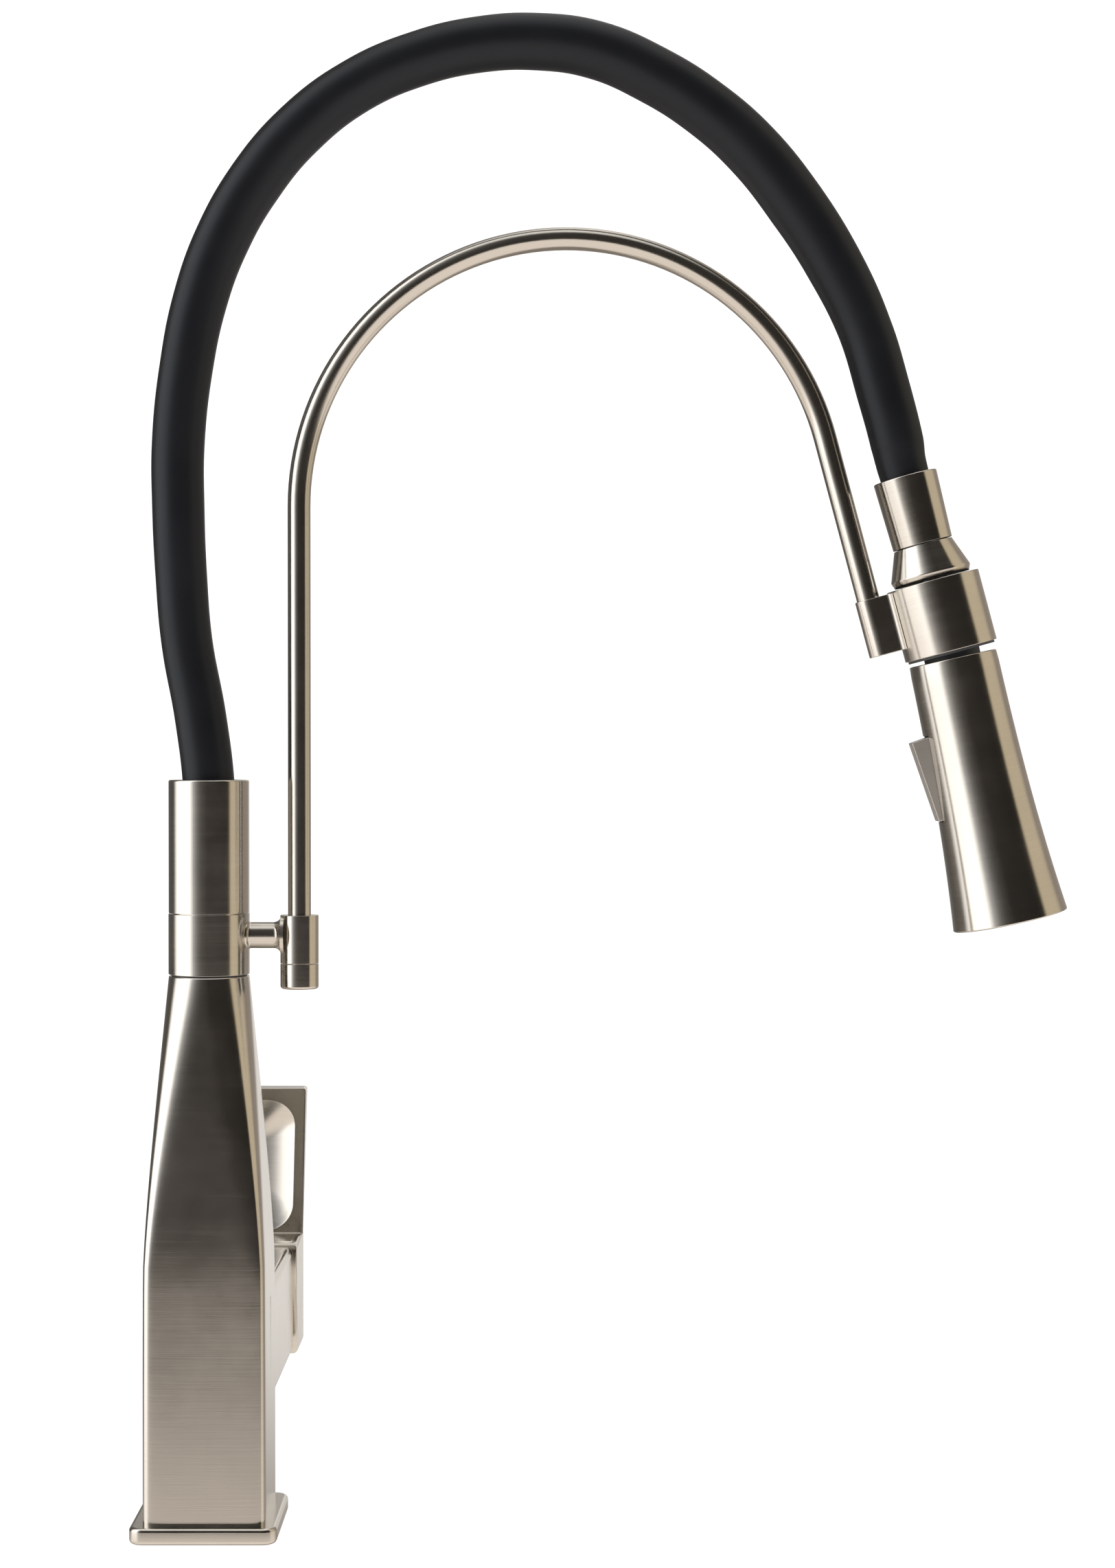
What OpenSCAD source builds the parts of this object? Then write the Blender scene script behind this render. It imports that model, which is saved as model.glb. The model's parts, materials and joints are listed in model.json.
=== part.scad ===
// Pull down kitchen faucet with an arched hose, a steel rod and a docked spray head.
// Origin: centre of the deck plate's underside. +X points to the spray head, +Y to the handle, +Z up.

/* [Deck plate] */
// Side of the square deck plate
plate_w = 53; // [50:1:64]
// Thickness of the deck plate
plate_t = 6; // [4:0.5:9]
// Corner radius of the deck plate, seen from above
plate_r = 5; // [2:0.5:10]
// Radius along the plate's upper edge
plate_edge = 1.5; // [0.5:0.25:2]
// Diameter of the body's foot, which passes through the plate
foot_d = 36; // [34:1:38]
// Width of the sealing gasket
gasket_w = 3; // [2:0.5:4]
// Thickness of the sealing gasket
gasket_t = 1.5; // [1:0.25:2.5]

/* [Body] */
// Side of the square lower body
body_w = 44.5; // [42:0.5:54]
// Corner radius of the square lower body
corner_r = 3; // [1:0.5:6]
// Height at which the body starts to taper
straight_h = 96; // [92:1:120]
// Height of the body's top
body_h = 202; // [170:1:245]
// Diameter of the body's round top
neck_d = 29.4; // [28:0.2:36]
// Diameter of the water passage
water_d = 12; // [8:0.5:13]

/* [Deck connections] */
// Tapping diameter of the two supply inlets
inlet_d = 9; // [7:0.5:10]
// Depth of the inlet threads
inlet_depth = 16; // [10:1:24]
// Distance between the two supply inlets
inlet_pitch = 18; // [16:0.5:20]
// Tapping diameter of the two stud holes
stud_d = 5; // [4:0.5:6]
// Depth of the stud holes
stud_depth = 12; // [8:1:20]
// Distance between the two stud holes
stud_pitch = 27; // [24:1:28]

/* [Valve] */
// Height of the valve's axis above the deck
valve_z = 66; // [56:1:70]
// Height of the square valve housing
housing_h = 42; // [41:0.5:50]
// Distance from the body's axis to the end of the housing
housing_end = 90; // [84:1:110]
// Diameter of the ceramic cartridge
cartridge_d = 35; // [30:1:35]
// Length of the cartridge's body
cartridge_l = 28; // [26:1:30]
// Length of the nut that holds the cartridge
valve_nut_l = 7; // [6:0.5:8]
// Diameter of the turning yoke
yoke_d = 22; // [20:0.5:22]
// Distance from the housing's end back to the tilt pin
pivot_depth = 8; // [6:0.5:10]
// Distance from the tilt pin to the ball on the stem's inner end
stem_arm = 14; // [13.5:0.5:15]
// Width of the square stem
stem_w = 8; // [6:0.5:8]
// Diameter of the ceramic discs
disc_d = 21; // [18:0.5:22]
// Largest tilt of the handle, in degrees
tilt_max = 15; // [8:1:15]

/* [Handle] */
// Width of the handle's cap and lever
cap_w = 47.4; // [46:0.2:54]
// Height of the handle's cap
cap_h = 45.6; // [44:0.2:54]
// Depth of the handle's cap
cap_depth = 31; // [28:1:40]
// Wall of the handle's cap
cap_wall = 3; // [2:0.25:4]
// Height of the lever's tip above the valve's axis
lever_h = 81.5; // [60:0.5:110]
// How much wider the lever is at its tip than at the cap
lever_flare = 3.6; // [0:0.2:5]
// Thickness of the lever plate
lever_t = 9; // [7:0.5:12]
// Depth of the dish in the lever plate
dish_depth = 5; // [2:0.5:5.5]
// Rim around the dish
dish_rim = 4.5; // [3:0.5:7]

/* [Swivel] */
// Height of the swivel ring
ring_h = 22; // [20:0.5:28]
// Diameter of the fixed spigot
spigot_d = 18; // [16:0.5:19]
// Length of the spigot's thread in the body
spigot_thread = 14; // [10:1:20]
// Height of the hose collar
collar_h = 48.6; // [40:0.2:60]
// Diameter of the side branch
branch_d = 10; // [9:0.5:12]
// Diameter of the rod holder
holder_d = 14; // [13:0.5:18]
// Height of the rod holder
holder_h = 17.5; // [15:0.5:20]
// Height of the nut under the rod holder
rod_nut_h = 9; // [7:0.5:12]

/* [Rod] */
// Diameter of the rod
rod_d = 8.4; // [7:0.2:9]
// Distance from the body's axis to the rod's upright
post_x = 33; // [30:0.5:42]
// Radius of the rod's arch
arch_r = 97.5; // [85:0.5:105]
// Height of the arch's centre above the deck
arch_z = 373; // [340:1:400]
// Lean of the rod's free leg and of the dock, in degrees
dock_lean = 15; // [10:0.5:20]

/* [Dock] */
// Distance along the free leg from the arch's end to the middle of the docking ring
dock_along = 75; // [68:1:95]
// Distance from the rod's axis to the docking ring's axis
dock_off = 24.4; // [23:0.2:30]
// Outer diameter of the docking ring
dock_d = 34.2; // [33.6:0.2:38]
// Height of the docking ring
dock_h = 26.4; // [22:0.2:32]
// Thickness of the liner in the docking ring
liner_t = 0.8; // [0.6:0.1:1]
// Diameter of the flared nut on the spray head's stem
cone_d = 29.6; // [27:0.2:29.8]
// Thickness of the block between rod and ring
block_t = 10; // [9.5:0.5:12]
// Length of the block along the rod
block_h = 21; // [16:0.5:24]
// Diameter of the rod's tenon in the block
tenon_d = 6; // [5:0.5:6.5]

/* [Hose] */
// Diameter of the hose
hose_d = 19.6; // [17:0.2:20]

/* [Spray head] */
// Length of the tapered hose sleeve
sleeve_l = 25; // [20:0.5:32]
// Diameter of the sleeve where the hose enters
sleeve_top_d = 24; // [23:0.2:26]
// Diameter of the sleeve at the flared nut
sleeve_end_d = 22; // [21:0.2:23]
// Length of the flared nut
cone_l = 13.2; // [11:0.2:18]
// Diameter of the hollow ball stem
stem_d = 11; // [10:0.2:11.4]
// Diameter of the swivel ball
ball_d = 15; // [14:0.2:15.6]
// Gap between the docking ring and the head
dock_gap = 1.5; // [1.2:0.1:3]
// Slack angle at which the head hangs in its ball joint, in degrees
head_slack = 2.5; // [0:0.5:2.5]
// Length of the spray head's shell
head_l = 98; // [90:1:120]
// Diameter of the shell at its top
head_top_d = 32.4; // [32:0.2:36]
// Diameter of the shell at its outlet
head_end_d = 42.2; // [41:0.2:48]
// Wall of the shell
head_wall = 1.8; // [1.4:0.1:2]
// Diameter of the head's plastic core
core_d = 27.6; // [27:0.2:28]
// Width of the toggle paddle
paddle_w = 11; // [8:0.5:12]
// Length of the toggle paddle
paddle_l = 31; // [26:0.5:33]
// Height of the paddle's raised end above the shell
paddle_rise = 5.2; // [3:0.2:6]
// Travel of the toggle paddle, in degrees
paddle_turn = 8; // [4:0.5:8]
// Number of spray nozzles
nozzle_count = 20; // [12:1:24]

/* [Fits] */
// Radial clearance of turning and sliding pieces
run_gap = 0.1; // [0.05:0.01:0.15]
// Radial clearance of pieces that are screwed or pushed together
seat_gap = 0.05; // [0.02:0.01:0.1]
// Clearance between moving pieces that never touch
free_gap = 0.5; // [0.4:0.05:0.8]

/* [Hidden] */
$fn = 64;
eps = 0.01;

nickel = "silver";
dark_plastic = "dimgray";

gasket_d = foot_d + 6;

// Valve stations, measured along Y from the body's axis
end_rim = 3;
floor_y = housing_end - valve_nut_l - end_rim - cartridge_l;
nut_y = floor_y + cartridge_l;
pivot_y = housing_end - pivot_depth;
ball_y = pivot_y - stem_arm;
yoke_back = pivot_y - 9.5;
yoke_top = pivot_y + 4;
yoke_flange_t = 1.8;
disc_reach = stem_arm * sin(tilt_max);
cavity_r = disc_d / 2 + disc_reach + 0.4;
stem_slot = 15;
nut_thread_d = cartridge_d + 3;
port_z = 8;
port_x = inlet_pitch / 2;
port_d = 6;
seal_d = port_d + 3;
seal_t = 1.2;
carrier_y = ball_y + 2;
disc_y = ball_y - 7;
disc_t = 3;
stem_ball_d = 5.6;
pin_d = 3;
handle_y = housing_end + free_gap;
cap_end = handle_y + cap_depth;
socket_end = cap_end - 12;
screw_y = socket_end - 6;
screw_d = 5;
screw_l = 8;
plug_h = 3;
boss_w = screw_d + 6;
socket_w = stem_w + 8;
socket_l = 14;
cap_floor = 5;
tip_h = 4;
tip_r = 1.1;

// Swivel stations, measured along Z
washer_t = 0.6;
ring_z = body_h + washer_t + run_gap;
ring_top = ring_z + ring_h;
shoulder_z = ring_z + ring_h * 0.6;
groove = 1.8;
ring_shares = [0.3, 0.7];
cap_nut_h = 5;
cap_nut_d = 22;
ring_neck_d = 26;
ring_neck_h = 6;
collar_z = ring_top + 0.2;
collar_top = collar_z + collar_h;
holder_top = ring_top - 0.6;
holder_z = holder_top - holder_h;
branch_z = holder_top - 7.3;
branch_screw_d = 4;
rod_washer_t = 0.4;
nut_round = 1.5;
collar_chamfer = 0.6;
rod_end_z = holder_z - rod_nut_h + 2;
nipple_z = collar_z + 1.5;
nipple_d = 12;
nipple_flange_h = 3;
hose_start_z = collar_top - 22;

// Dock and head stations, measured along the leaning dock axis from the ring's middle, up positive
arch_x = post_x + arch_r;
block_top = dock_h / 2 - 0.5;
dock_bore = cone_d + 2 * free_gap;
cone_z = dock_h / 2 + 1.6;
sleeve_z = cone_z + cone_l;
sleeve_top = sleeve_z + sleeve_l;
ball_z = -dock_h / 2 + 1.2;
ball_gap = ball_z + dock_h / 2 + dock_gap;
neck_d_core = 20.6;
neck_rise = 9;

// Inside of the spray head, measured down from its top
core_end = 84;
face_s = head_l - 7;
paddle_s = 26;
pin_s = paddle_s + paddle_l - 7;
pin_r = head_top_d / 2 - 1.4;
toggle_pin_d = 2;
piston_d = 8.6;
crank_r = 2.8;
piston_neck_d = 4.4;
outlet_r = head_end_d / 2 - 2.2;
neck_floor = 2.2;
seat_z = 2.6;
check_s = 24;
check_d = 11;
check_l = 12;
piston_reach = 16;
piston_l = 34;
piston_groove_z = 30;
piston_groove_h = 1.4;
piston_groove_d = piston_d - 2.4;
face_t = 3.8;
nozzle_r = 13.4;
nozzle_d = 2.4;
aerator_d = 15;

// Route of the hose's middle line, as [x, z]
hose_route = [
    [0, hose_start_z], [0, 270], [-3, 296], [-8, 324], [-10, 348], [-11, 372], [-11, 396], [-8, 424],
    [-3, 448], [5, 470], [17, 491], [33, 510], [54, 526], [77, 536], [99, 541], [120, 542], [141, 539],
    [162, 530], [181, 518], [198, 503], [214, 483], [228, 461], [239, 438], [246, 415], [251, 396]
];
hose_sides = 12;

function lerp(a, b, t) = a + (b - a) * t;
function dock_point(h) = [
    arch_x + (arch_r + dock_off) * cos(dock_lean) + (dock_along - h) * sin(dock_lean),
    arch_z + (arch_r + dock_off) * sin(dock_lean) - (dock_along - h) * cos(dock_lean)
];
// Outer radius of the spray head at a share t of its length: a slow cone that flares near the outlet
function head_r(t) = head_top_d / 2 + t + (head_end_d / 2 - head_top_d / 2 - 1) * pow(t, 2.5);
// Half width and corner radius of the body where it tapers, at a share t of the taper
function taper_w(t) = lerp(body_w, neck_d, pow(t, 1.25)) / 2;
function taper_r(t) = lerp(corner_r, neck_d / 2, pow(t, 1.5));

// ---------- shared shapes ----------

module rounded_square(w, h, r) {
    square([w, h - 2 * r], center = true);
    square([w - 2 * r, h], center = true);
    for (x = [-1, 1], y = [-1, 1])
        translate([x * (w / 2 - r), y * (h / 2 - r)])
            circle(r);
}

module tube(d_out, d_in, h) {
    difference() {
        cylinder(d = d_out, h = h);
        translate([0, 0, -eps])
            cylinder(d = d_in, h = h + 2 * eps);
    }
}

module o_ring(d_in, section) {
    rotate_extrude()
        translate([(d_in + section) / 2, 0])
            circle(d = section);
}

// Children are drawn with their +Z along the row's +Y, on the valve's axis
module at_valve(y) {
    translate([0, y, valve_z])
        rotate([-90, 0, 0])
            children();
}

// A slab of the handle: w along X, from y0 to y1 along Y, from z0 to z1 above the valve's axis
module valve_box(w, y0, y1, z0, z1, r) {
    translate([0, y0, valve_z + (z0 + z1) / 2])
        rotate([-90, 0, 0])
            linear_extrude(y1 - y0)
                rounded_square(w, z1 - z0, r);
}

// Children are drawn in the dock's frame: origin in the middle of the ring, +Z up along its axis
module at_dock() {
    translate([arch_x, 0, arch_z])
        rotate([0, -dock_lean, 0])
            translate([arch_r + dock_off, 0, -dock_along])
                children();
}

// Children are drawn in the spray head's frame: origin at the ball's centre, +Z up along the head
module at_head() {
    at_dock()
        translate([0, 0, ball_z])
            rotate([0, head_slack, 0])
                children();
}

// Children are drawn at a depth s below the spray head's top
module head_down(s) {
    at_head()
        translate([0, 0, -ball_gap - s])
            children();
}

// ---------- deck plate and body ----------

module base_plate() {
    color(nickel)
        difference() {
            union() {
                linear_extrude(plate_t - plate_edge)
                    rounded_square(plate_w, plate_w, plate_r);
                hull()
                    for (x = [-1, 1], y = [-1, 1])
                        translate([x, y, 0] * (plate_w / 2 - plate_r))
                            translate([0, 0, plate_t - plate_edge])
                                rotate_extrude($fn = 32)
                                    edge_profile();
            }
            translate([0, 0, -eps])
                cylinder(d = foot_d + 2 * seat_gap, h = plate_t + 2 * eps);
            translate([0, 0, -eps])
                tube(gasket_d + 2 * gasket_w, gasket_d, gasket_t + eps);
        }
}

// Quarter round along the upper edge of a corner of the plate
module edge_profile() {
    intersection() {
        union() {
            square([plate_r - plate_edge, plate_edge]);
            translate([plate_r - plate_edge, 0])
                circle(plate_edge, $fn = 24);
        }
        square([plate_r, plate_edge]);
    }
}

module base_gasket() {
    color("black")
        tube(gasket_d + 2 * gasket_w, gasket_d, gasket_t);
}

module body_section(t) {
    rounded_square(2 * taper_w(t), 2 * taper_w(t), min(taper_r(t), taper_w(t) - eps), $fn = 32);
}

module body_outside() {
    cylinder(d = foot_d, h = plate_t + 1);
    translate([0, 0, plate_t])
        linear_extrude(straight_h - plate_t)
            rounded_square(body_w, body_w, corner_r);
    steps = [0, 0.3, 0.62, 1];
    for (i = [0 : 2])
        hull()
            for (t = [steps[i], steps[i + 1]])
                translate([0, 0, lerp(straight_h, body_h - 0.1, t)])
                    linear_extrude(0.1)
                        body_section(t);
    valve_box(body_w, 0, housing_end, -housing_h / 2, housing_h / 2, corner_r);
}

module body_shell() {
    color(nickel)
        difference() {
            body_outside();
            at_valve(floor_y)
                cylinder(d = cartridge_d + 2 * seat_gap, h = housing_end);
            at_valve(nut_y - 1)
                cylinder(d = nut_thread_d + 2 * seat_gap, h = housing_end);
            translate([0, 0, valve_z + port_z - port_d / 2])
                cylinder(d = water_d, h = body_h);
            translate([0, 0, body_h - spigot_thread])
                cylinder(d = spigot_d - 2, h = body_h);
            at_valve(0)
                translate([0, -port_z, 0])
                    cylinder(d = port_d, h = floor_y + 1);
            for (x = [-port_x, port_x]) {
                translate([x, 0, -eps])
                    cylinder(d = inlet_d, h = inlet_depth + eps);
                translate([x, 0, 0])
                    cylinder(d = port_d, h = valve_z - port_z);
                translate([x, 0, valve_z - port_z])
                    sphere(d = port_d);
                at_valve(0)
                    translate([x, port_z, 0])
                        cylinder(d = port_d, h = floor_y + 1);
            }
            for (y = [-1, 1])
                translate([0, y * stud_pitch / 2, -eps])
                    cylinder(d = stud_d, h = stud_depth + eps);
        }
}

// ---------- valve cartridge ----------

module ports(d, h) {
    translate([0, -port_z, 0])
        cylinder(d = d, h = h);
    for (x = [-port_x, port_x])
        translate([x, port_z, 0])
            cylinder(d = d, h = h);
}

module cartridge_body() {
    color("white")
        at_valve(floor_y)
            difference() {
                cylinder(d = cartridge_d, h = cartridge_l);
                translate([0, 0, disc_y - disc_t - floor_y])
                    cylinder(r = cavity_r, h = yoke_back + 2 - disc_y + disc_t);
                translate([0, 0, disc_y - floor_y])
                    cylinder(d = yoke_d + 2 * run_gap, h = cartridge_l);
                translate([0, 0, -eps])
                    ports(port_d, cartridge_l / 2);
                translate([0, 0, -eps])
                    ports(seal_d, seal_t + eps);
            }
}

module cartridge_seals() {
    color("black")
        at_valve(floor_y)
            difference() {
                ports(seal_d - 2 * seat_gap, seal_t);
                translate([0, 0, -eps])
                    ports(port_d, seal_t + 2 * eps);
            }
}

module fixed_disc() {
    color("white")
        at_valve(disc_y - disc_t)
            difference() {
                cylinder(r = cavity_r - seat_gap, h = disc_t - seat_gap);
                translate([0, 0, -eps])
                    ports(port_d - 1, disc_t + 2 * eps);
            }
}

module moving_disc() {
    color("white")
        at_valve(disc_y)
            difference() {
                cylinder(d = disc_d, h = disc_t);
                translate([0, 0, -eps])
                    cylinder(d = disc_d / 2, h = disc_t / 2);
            }
}

module disc_carrier() {
    color("silver")
        at_valve(disc_y + disc_t)
            difference() {
                cylinder(d = disc_d - 1, h = carrier_y - disc_y - disc_t);
                translate([0, 0, ball_y - stem_ball_d / 2 - 0.4 - disc_y - disc_t])
                    cylinder(d = stem_ball_d + 0.8, h = carrier_y);
            }
}

module stem_yoke() {
    color("brown")
        at_valve(yoke_back)
            difference() {
                union() {
                    cylinder(d = yoke_d, h = yoke_top - yoke_back);
                    cylinder(d = yoke_d + 4, h = yoke_flange_t);
                }
                translate([0, 0, (yoke_top - yoke_back) / 2])
                    cube([stem_w + 0.8, stem_slot, 2 * yoke_d], center = true);
                translate([0, 0, pivot_y - yoke_back])
                    rotate([0, 90, 0])
                        cylinder(d = pin_d + 2 * seat_gap, h = yoke_d + 2, center = true);
            }
}

module stem_pin() {
    color("silver")
        at_valve(pivot_y)
            rotate([0, 90, 0])
                cylinder(d = pin_d, h = yoke_d - 1.6, center = true);
}

module cartridge_stem() {
    color("silver")
        difference() {
            union() {
                valve_box(stem_w, pivot_y - 2.5, socket_end - 1, -stem_w / 2, stem_w / 2, 1);
                at_valve(ball_y)
                    cylinder(d = 3.6, h = stem_arm);
                at_valve(ball_y)
                    sphere(d = stem_ball_d);
            }
            at_valve(pivot_y)
                rotate([0, 90, 0])
                    cylinder(d = pin_d + 2 * run_gap, h = stem_w + 2, center = true);
        }
}

module cartridge_nut() {
    color("gold")
        at_valve(nut_y)
            difference() {
                cylinder(d = nut_thread_d, h = valve_nut_l);
                translate([0, 0, -eps])
                    cylinder(d = yoke_d + 2 * free_gap, h = valve_nut_l + 2 * eps);
                for (a = [0, 90])
                    rotate([0, 0, a])
                        translate([0, 0, valve_nut_l])
                            cube([nut_thread_d + 2, 4, 5], center = true);
            }
}

// ---------- handle ----------

module lever_dish() {
    dish_r = 2 * dish_depth;
    half = cap_w / 2 - dish_rim - dish_r * sin(60);
    translate([0, cap_end - lever_t - dish_r + dish_depth, valve_z])
        hull()
            for (x = [-half, half], z = [cap_h / 2 + dish_rim + 5, lever_h - dish_rim - dish_r * sin(60)])
                translate([x, 0, z])
                    sphere(dish_r, $fn = 32);
}

// The lower front of the cap slopes back so that the cap can tilt without meeting the housing
module tilt_relief() {
    translate([0, pivot_y, valve_z])
        rotate([tilt_max, 0, 0])
            translate([0, handle_y - pivot_y - 50, -50])
                cube([cap_w + 2, 100, 100], center = true);
}

module handle() {
    color(nickel)
        difference() {
            union() {
                difference() {
                    valve_box(cap_w, handle_y, cap_end, -cap_h / 2, cap_h / 2, corner_r);
                    valve_box(cap_w - 2 * cap_wall, handle_y - 1, cap_end - cap_floor, -cap_h / 2 + cap_wall,
                        cap_h / 2 - cap_wall, 1);
                }
                hull() {
                    valve_box(cap_w, cap_end - lever_t, cap_end, 0, cap_h / 2, corner_r);
                    valve_box(cap_w + lever_flare, cap_end - lever_t, cap_end, lever_h - tip_h, lever_h, tip_r);
                }
                valve_box(socket_w, socket_end - socket_l, cap_end - 4, -socket_w / 2, socket_w / 2, 2);
                valve_box(boss_w, screw_y - boss_w / 2, cap_end - 4, -cap_h / 2 + 1, 0, 1);
            }
            valve_box(stem_w + 2 * seat_gap, handle_y - 2, socket_end, -stem_w / 2 - seat_gap,
                stem_w / 2 + seat_gap, 1);
            translate([0, screw_y, valve_z - cap_h])
                cylinder(d = screw_d, h = cap_h);
            lever_dish();
            tilt_relief();
        }
}

module handle_set_screw() {
    color("black")
        translate([0, screw_y, valve_z - stem_w / 2 - screw_l])
            difference() {
                cylinder(d = screw_d - 2 * seat_gap, h = screw_l);
                translate([0, 0, -eps])
                    cylinder(d = 2.9, h = 3, $fn = 6);
            }
}

module screw_plug() {
    color("dimgray")
        translate([0, screw_y, valve_z - cap_h / 2 + 0.3])
            cylinder(d = screw_d - 2 * seat_gap, h = plug_h);
}

// ---------- swivel ----------

module spigot() {
    color("gold")
        difference() {
            union() {
                translate([0, 0, body_h - spigot_thread])
                    cylinder(d = spigot_d - 2 - 2 * seat_gap, h = spigot_thread + 1);
                translate([0, 0, body_h])
                    cylinder(d = spigot_d, h = shoulder_z - body_h);
                translate([0, 0, shoulder_z - 1])
                    cylinder(d = spigot_d - 2, h = cap_nut_h + 2);
            }
            translate([0, 0, body_h - spigot_thread - 1])
                cylinder(d = water_d - 1, h = 60);
            for (share = ring_shares)
                translate([0, 0, lerp(ring_z, shoulder_z, share)])
                    o_ring(spigot_d - 2 * groove, groove + 2 * seat_gap);
        }
}

module spigot_o_rings() {
    color("black")
        for (share = ring_shares)
            translate([0, 0, lerp(ring_z, shoulder_z, share)])
                o_ring(spigot_d - 2 * groove + 2 * seat_gap, groove - 2 * seat_gap);
}

module slip_washers() {
    color(dark_plastic)
        translate([0, 0, body_h])
            tube(neck_d - 2, spigot_d + 2 * seat_gap, washer_t);
    color(dark_plastic)
        translate([0, 0, shoulder_z + run_gap])
            tube(cap_nut_d, spigot_d - 2 + 2 * seat_gap, washer_t);
}

module spigot_cap_nut() {
    color("gold")
        translate([0, 0, shoulder_z + run_gap + washer_t])
            tube(cap_nut_d, spigot_d - 2 + 2 * seat_gap, cap_nut_h - 0.5);
}

module arm_ring() {
    color(nickel)
        difference() {
            union() {
                translate([0, 0, ring_z])
                    cylinder(d = neck_d + 0.2, h = ring_h);
                translate([0, 0, ring_top - 1])
                    cylinder(d = ring_neck_d, h = ring_neck_h + 1);
                translate([0, 0, branch_z])
                    rotate([0, 90, 0])
                        cylinder(d = branch_d, h = post_x);
                translate([post_x, 0, holder_z])
                    cylinder(d = holder_d, h = holder_h);
            }
            translate([0, 0, ring_z - 1])
                cylinder(d = spigot_d + 2 * run_gap, h = ring_h);
            translate([0, 0, shoulder_z])
                cylinder(d = cap_nut_d + 2 * free_gap, h = ring_h);
            translate([post_x, 0, holder_z - 1])
                cylinder(d = rod_d + 2 * seat_gap, h = holder_h + 2);
            translate([post_x, 0, branch_z])
                rotate([-90, 0, 0])
                    cylinder(d = branch_screw_d, h = holder_d);
        }
}

module rod_set_screw() {
    color("black")
        translate([post_x, rod_d / 2 + seat_gap, branch_z])
            rotate([-90, 0, 0])
                difference() {
                    cylinder(d = branch_screw_d - 2 * seat_gap, h = holder_d / 2 - rod_d / 2 - 0.6);
                    translate([0, 0, 1])
                        cylinder(d = 2.2, h = holder_d, $fn = 6);
                }
}

module rod_washer() {
    color(dark_plastic)
        translate([post_x, 0, holder_z - rod_washer_t])
            tube(holder_d - 1.6, rod_d + 2 * seat_gap, rod_washer_t);
}

module rod_nut() {
    color(nickel)
        translate([post_x, 0, holder_z - rod_washer_t - rod_nut_h])
            difference() {
                rotate_extrude() {
                    square([holder_d / 2 - nut_round, rod_nut_h]);
                    translate([0, nut_round])
                        square([holder_d / 2, rod_nut_h - nut_round]);
                    translate([holder_d / 2 - nut_round, nut_round])
                        circle(nut_round);
                }
                translate([0, 0, 2.2])
                    cylinder(d = rod_d + 2 * seat_gap, h = rod_nut_h);
            }
}

module hose_collar() {
    hose_bore = hose_d + 2 * free_gap;
    color(nickel)
        translate([0, 0, collar_z])
            difference() {
                union() {
                    cylinder(d = neck_d, h = collar_h - collar_chamfer);
                    translate([0, 0, collar_h - collar_chamfer])
                        cylinder(d1 = neck_d, d2 = neck_d - 2 * collar_chamfer, h = collar_chamfer);
                }
                translate([0, 0, -1])
                    cylinder(d = ring_neck_d + 2 * seat_gap, h = ring_neck_h + 1.5);
                translate([0, 0, -1])
                    cylinder(d = ring_neck_d - 2, h = collar_h - 16);
                translate([0, 0, -1])
                    cylinder(d = hose_bore, h = collar_h + 2);
            }
}

module hose_nipple() {
    color("gold")
        translate([0, 0, nipple_z])
            difference() {
                union() {
                    cylinder(d = cap_nut_d - 1, h = nipple_flange_h);
                    cylinder(d = nipple_d, h = hose_start_z - nipple_z - 1);
                }
                translate([0, 0, -eps])
                    cylinder(d = nipple_d - 4, h = 60);
            }
}

module hose_ferrule() {
    color("silver")
        translate([0, 0, nipple_z + 4])
            tube(hose_d + 0.6, nipple_d + 2 * seat_gap, hose_start_z - nipple_z - 4.2);
}

// ---------- hose ----------

module hose() {
    path = concat(hose_route, [dock_point(sleeve_top + 6), dock_point(sleeve_top + 0.3)]);
    last = len(path) - 1;
    function heading(i) =
        i == 0 ? [0, 1]
        : i == last ? [sin(dock_lean), -cos(dock_lean)]
        : path[i + 1] - path[i - 1];
    rings = [
        for (i = [0 : last])
            let (d = heading(i) / norm(heading(i)))
                for (k = [0 : hose_sides - 1])
                    let (a = 360 * k / hose_sides, u = hose_d / 2 * cos(a))
                        [path[i][0] - d[1] * u, hose_d / 2 * sin(a), path[i][1] + d[0] * u]
    ];
    sides = [
        for (i = [0 : last - 1], k = [0 : hose_sides - 1])
            let (n = (k + 1) % hose_sides, a = i * hose_sides, b = a + hose_sides)
                [a + k, b + k, b + n, a + n]
    ];
    ends = [
        [for (k = [0 : hose_sides - 1]) k],
        [for (k = [hose_sides - 1 : -1 : 0]) last * hose_sides + k]
    ];
    color([0.1, 0.1, 0.11])
        polyhedron(rings, concat(sides, ends));
}

// ---------- rod ----------

module rod() {
    leg = dock_along - block_top;
    color(nickel) {
        translate([post_x, 0, rod_end_z])
            cylinder(d = rod_d, h = arch_z - rod_end_z);
        translate([arch_x, 0, arch_z])
            rotate([90, 0, 0])
                rotate([0, 0, dock_lean])
                    rotate_extrude(angle = 180 - dock_lean)
                        translate([arch_r, 0])
                            circle(d = rod_d);
        translate([arch_x, 0, arch_z])
            rotate([0, -dock_lean, 0])
                translate([arch_r, 0, -leg]) {
                    cylinder(d = rod_d, h = leg);
                    translate([0, 0, -block_h + 3])
                        cylinder(d = tenon_d, h = block_h);
                }
    }
}

// ---------- dock ----------

module dock_outline() {
    circle(d = dock_d);
    translate([-dock_off, 0])
        circle(d = block_t);
    translate([-dock_off, -block_t / 2])
        square([dock_off, block_t]);
}

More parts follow.
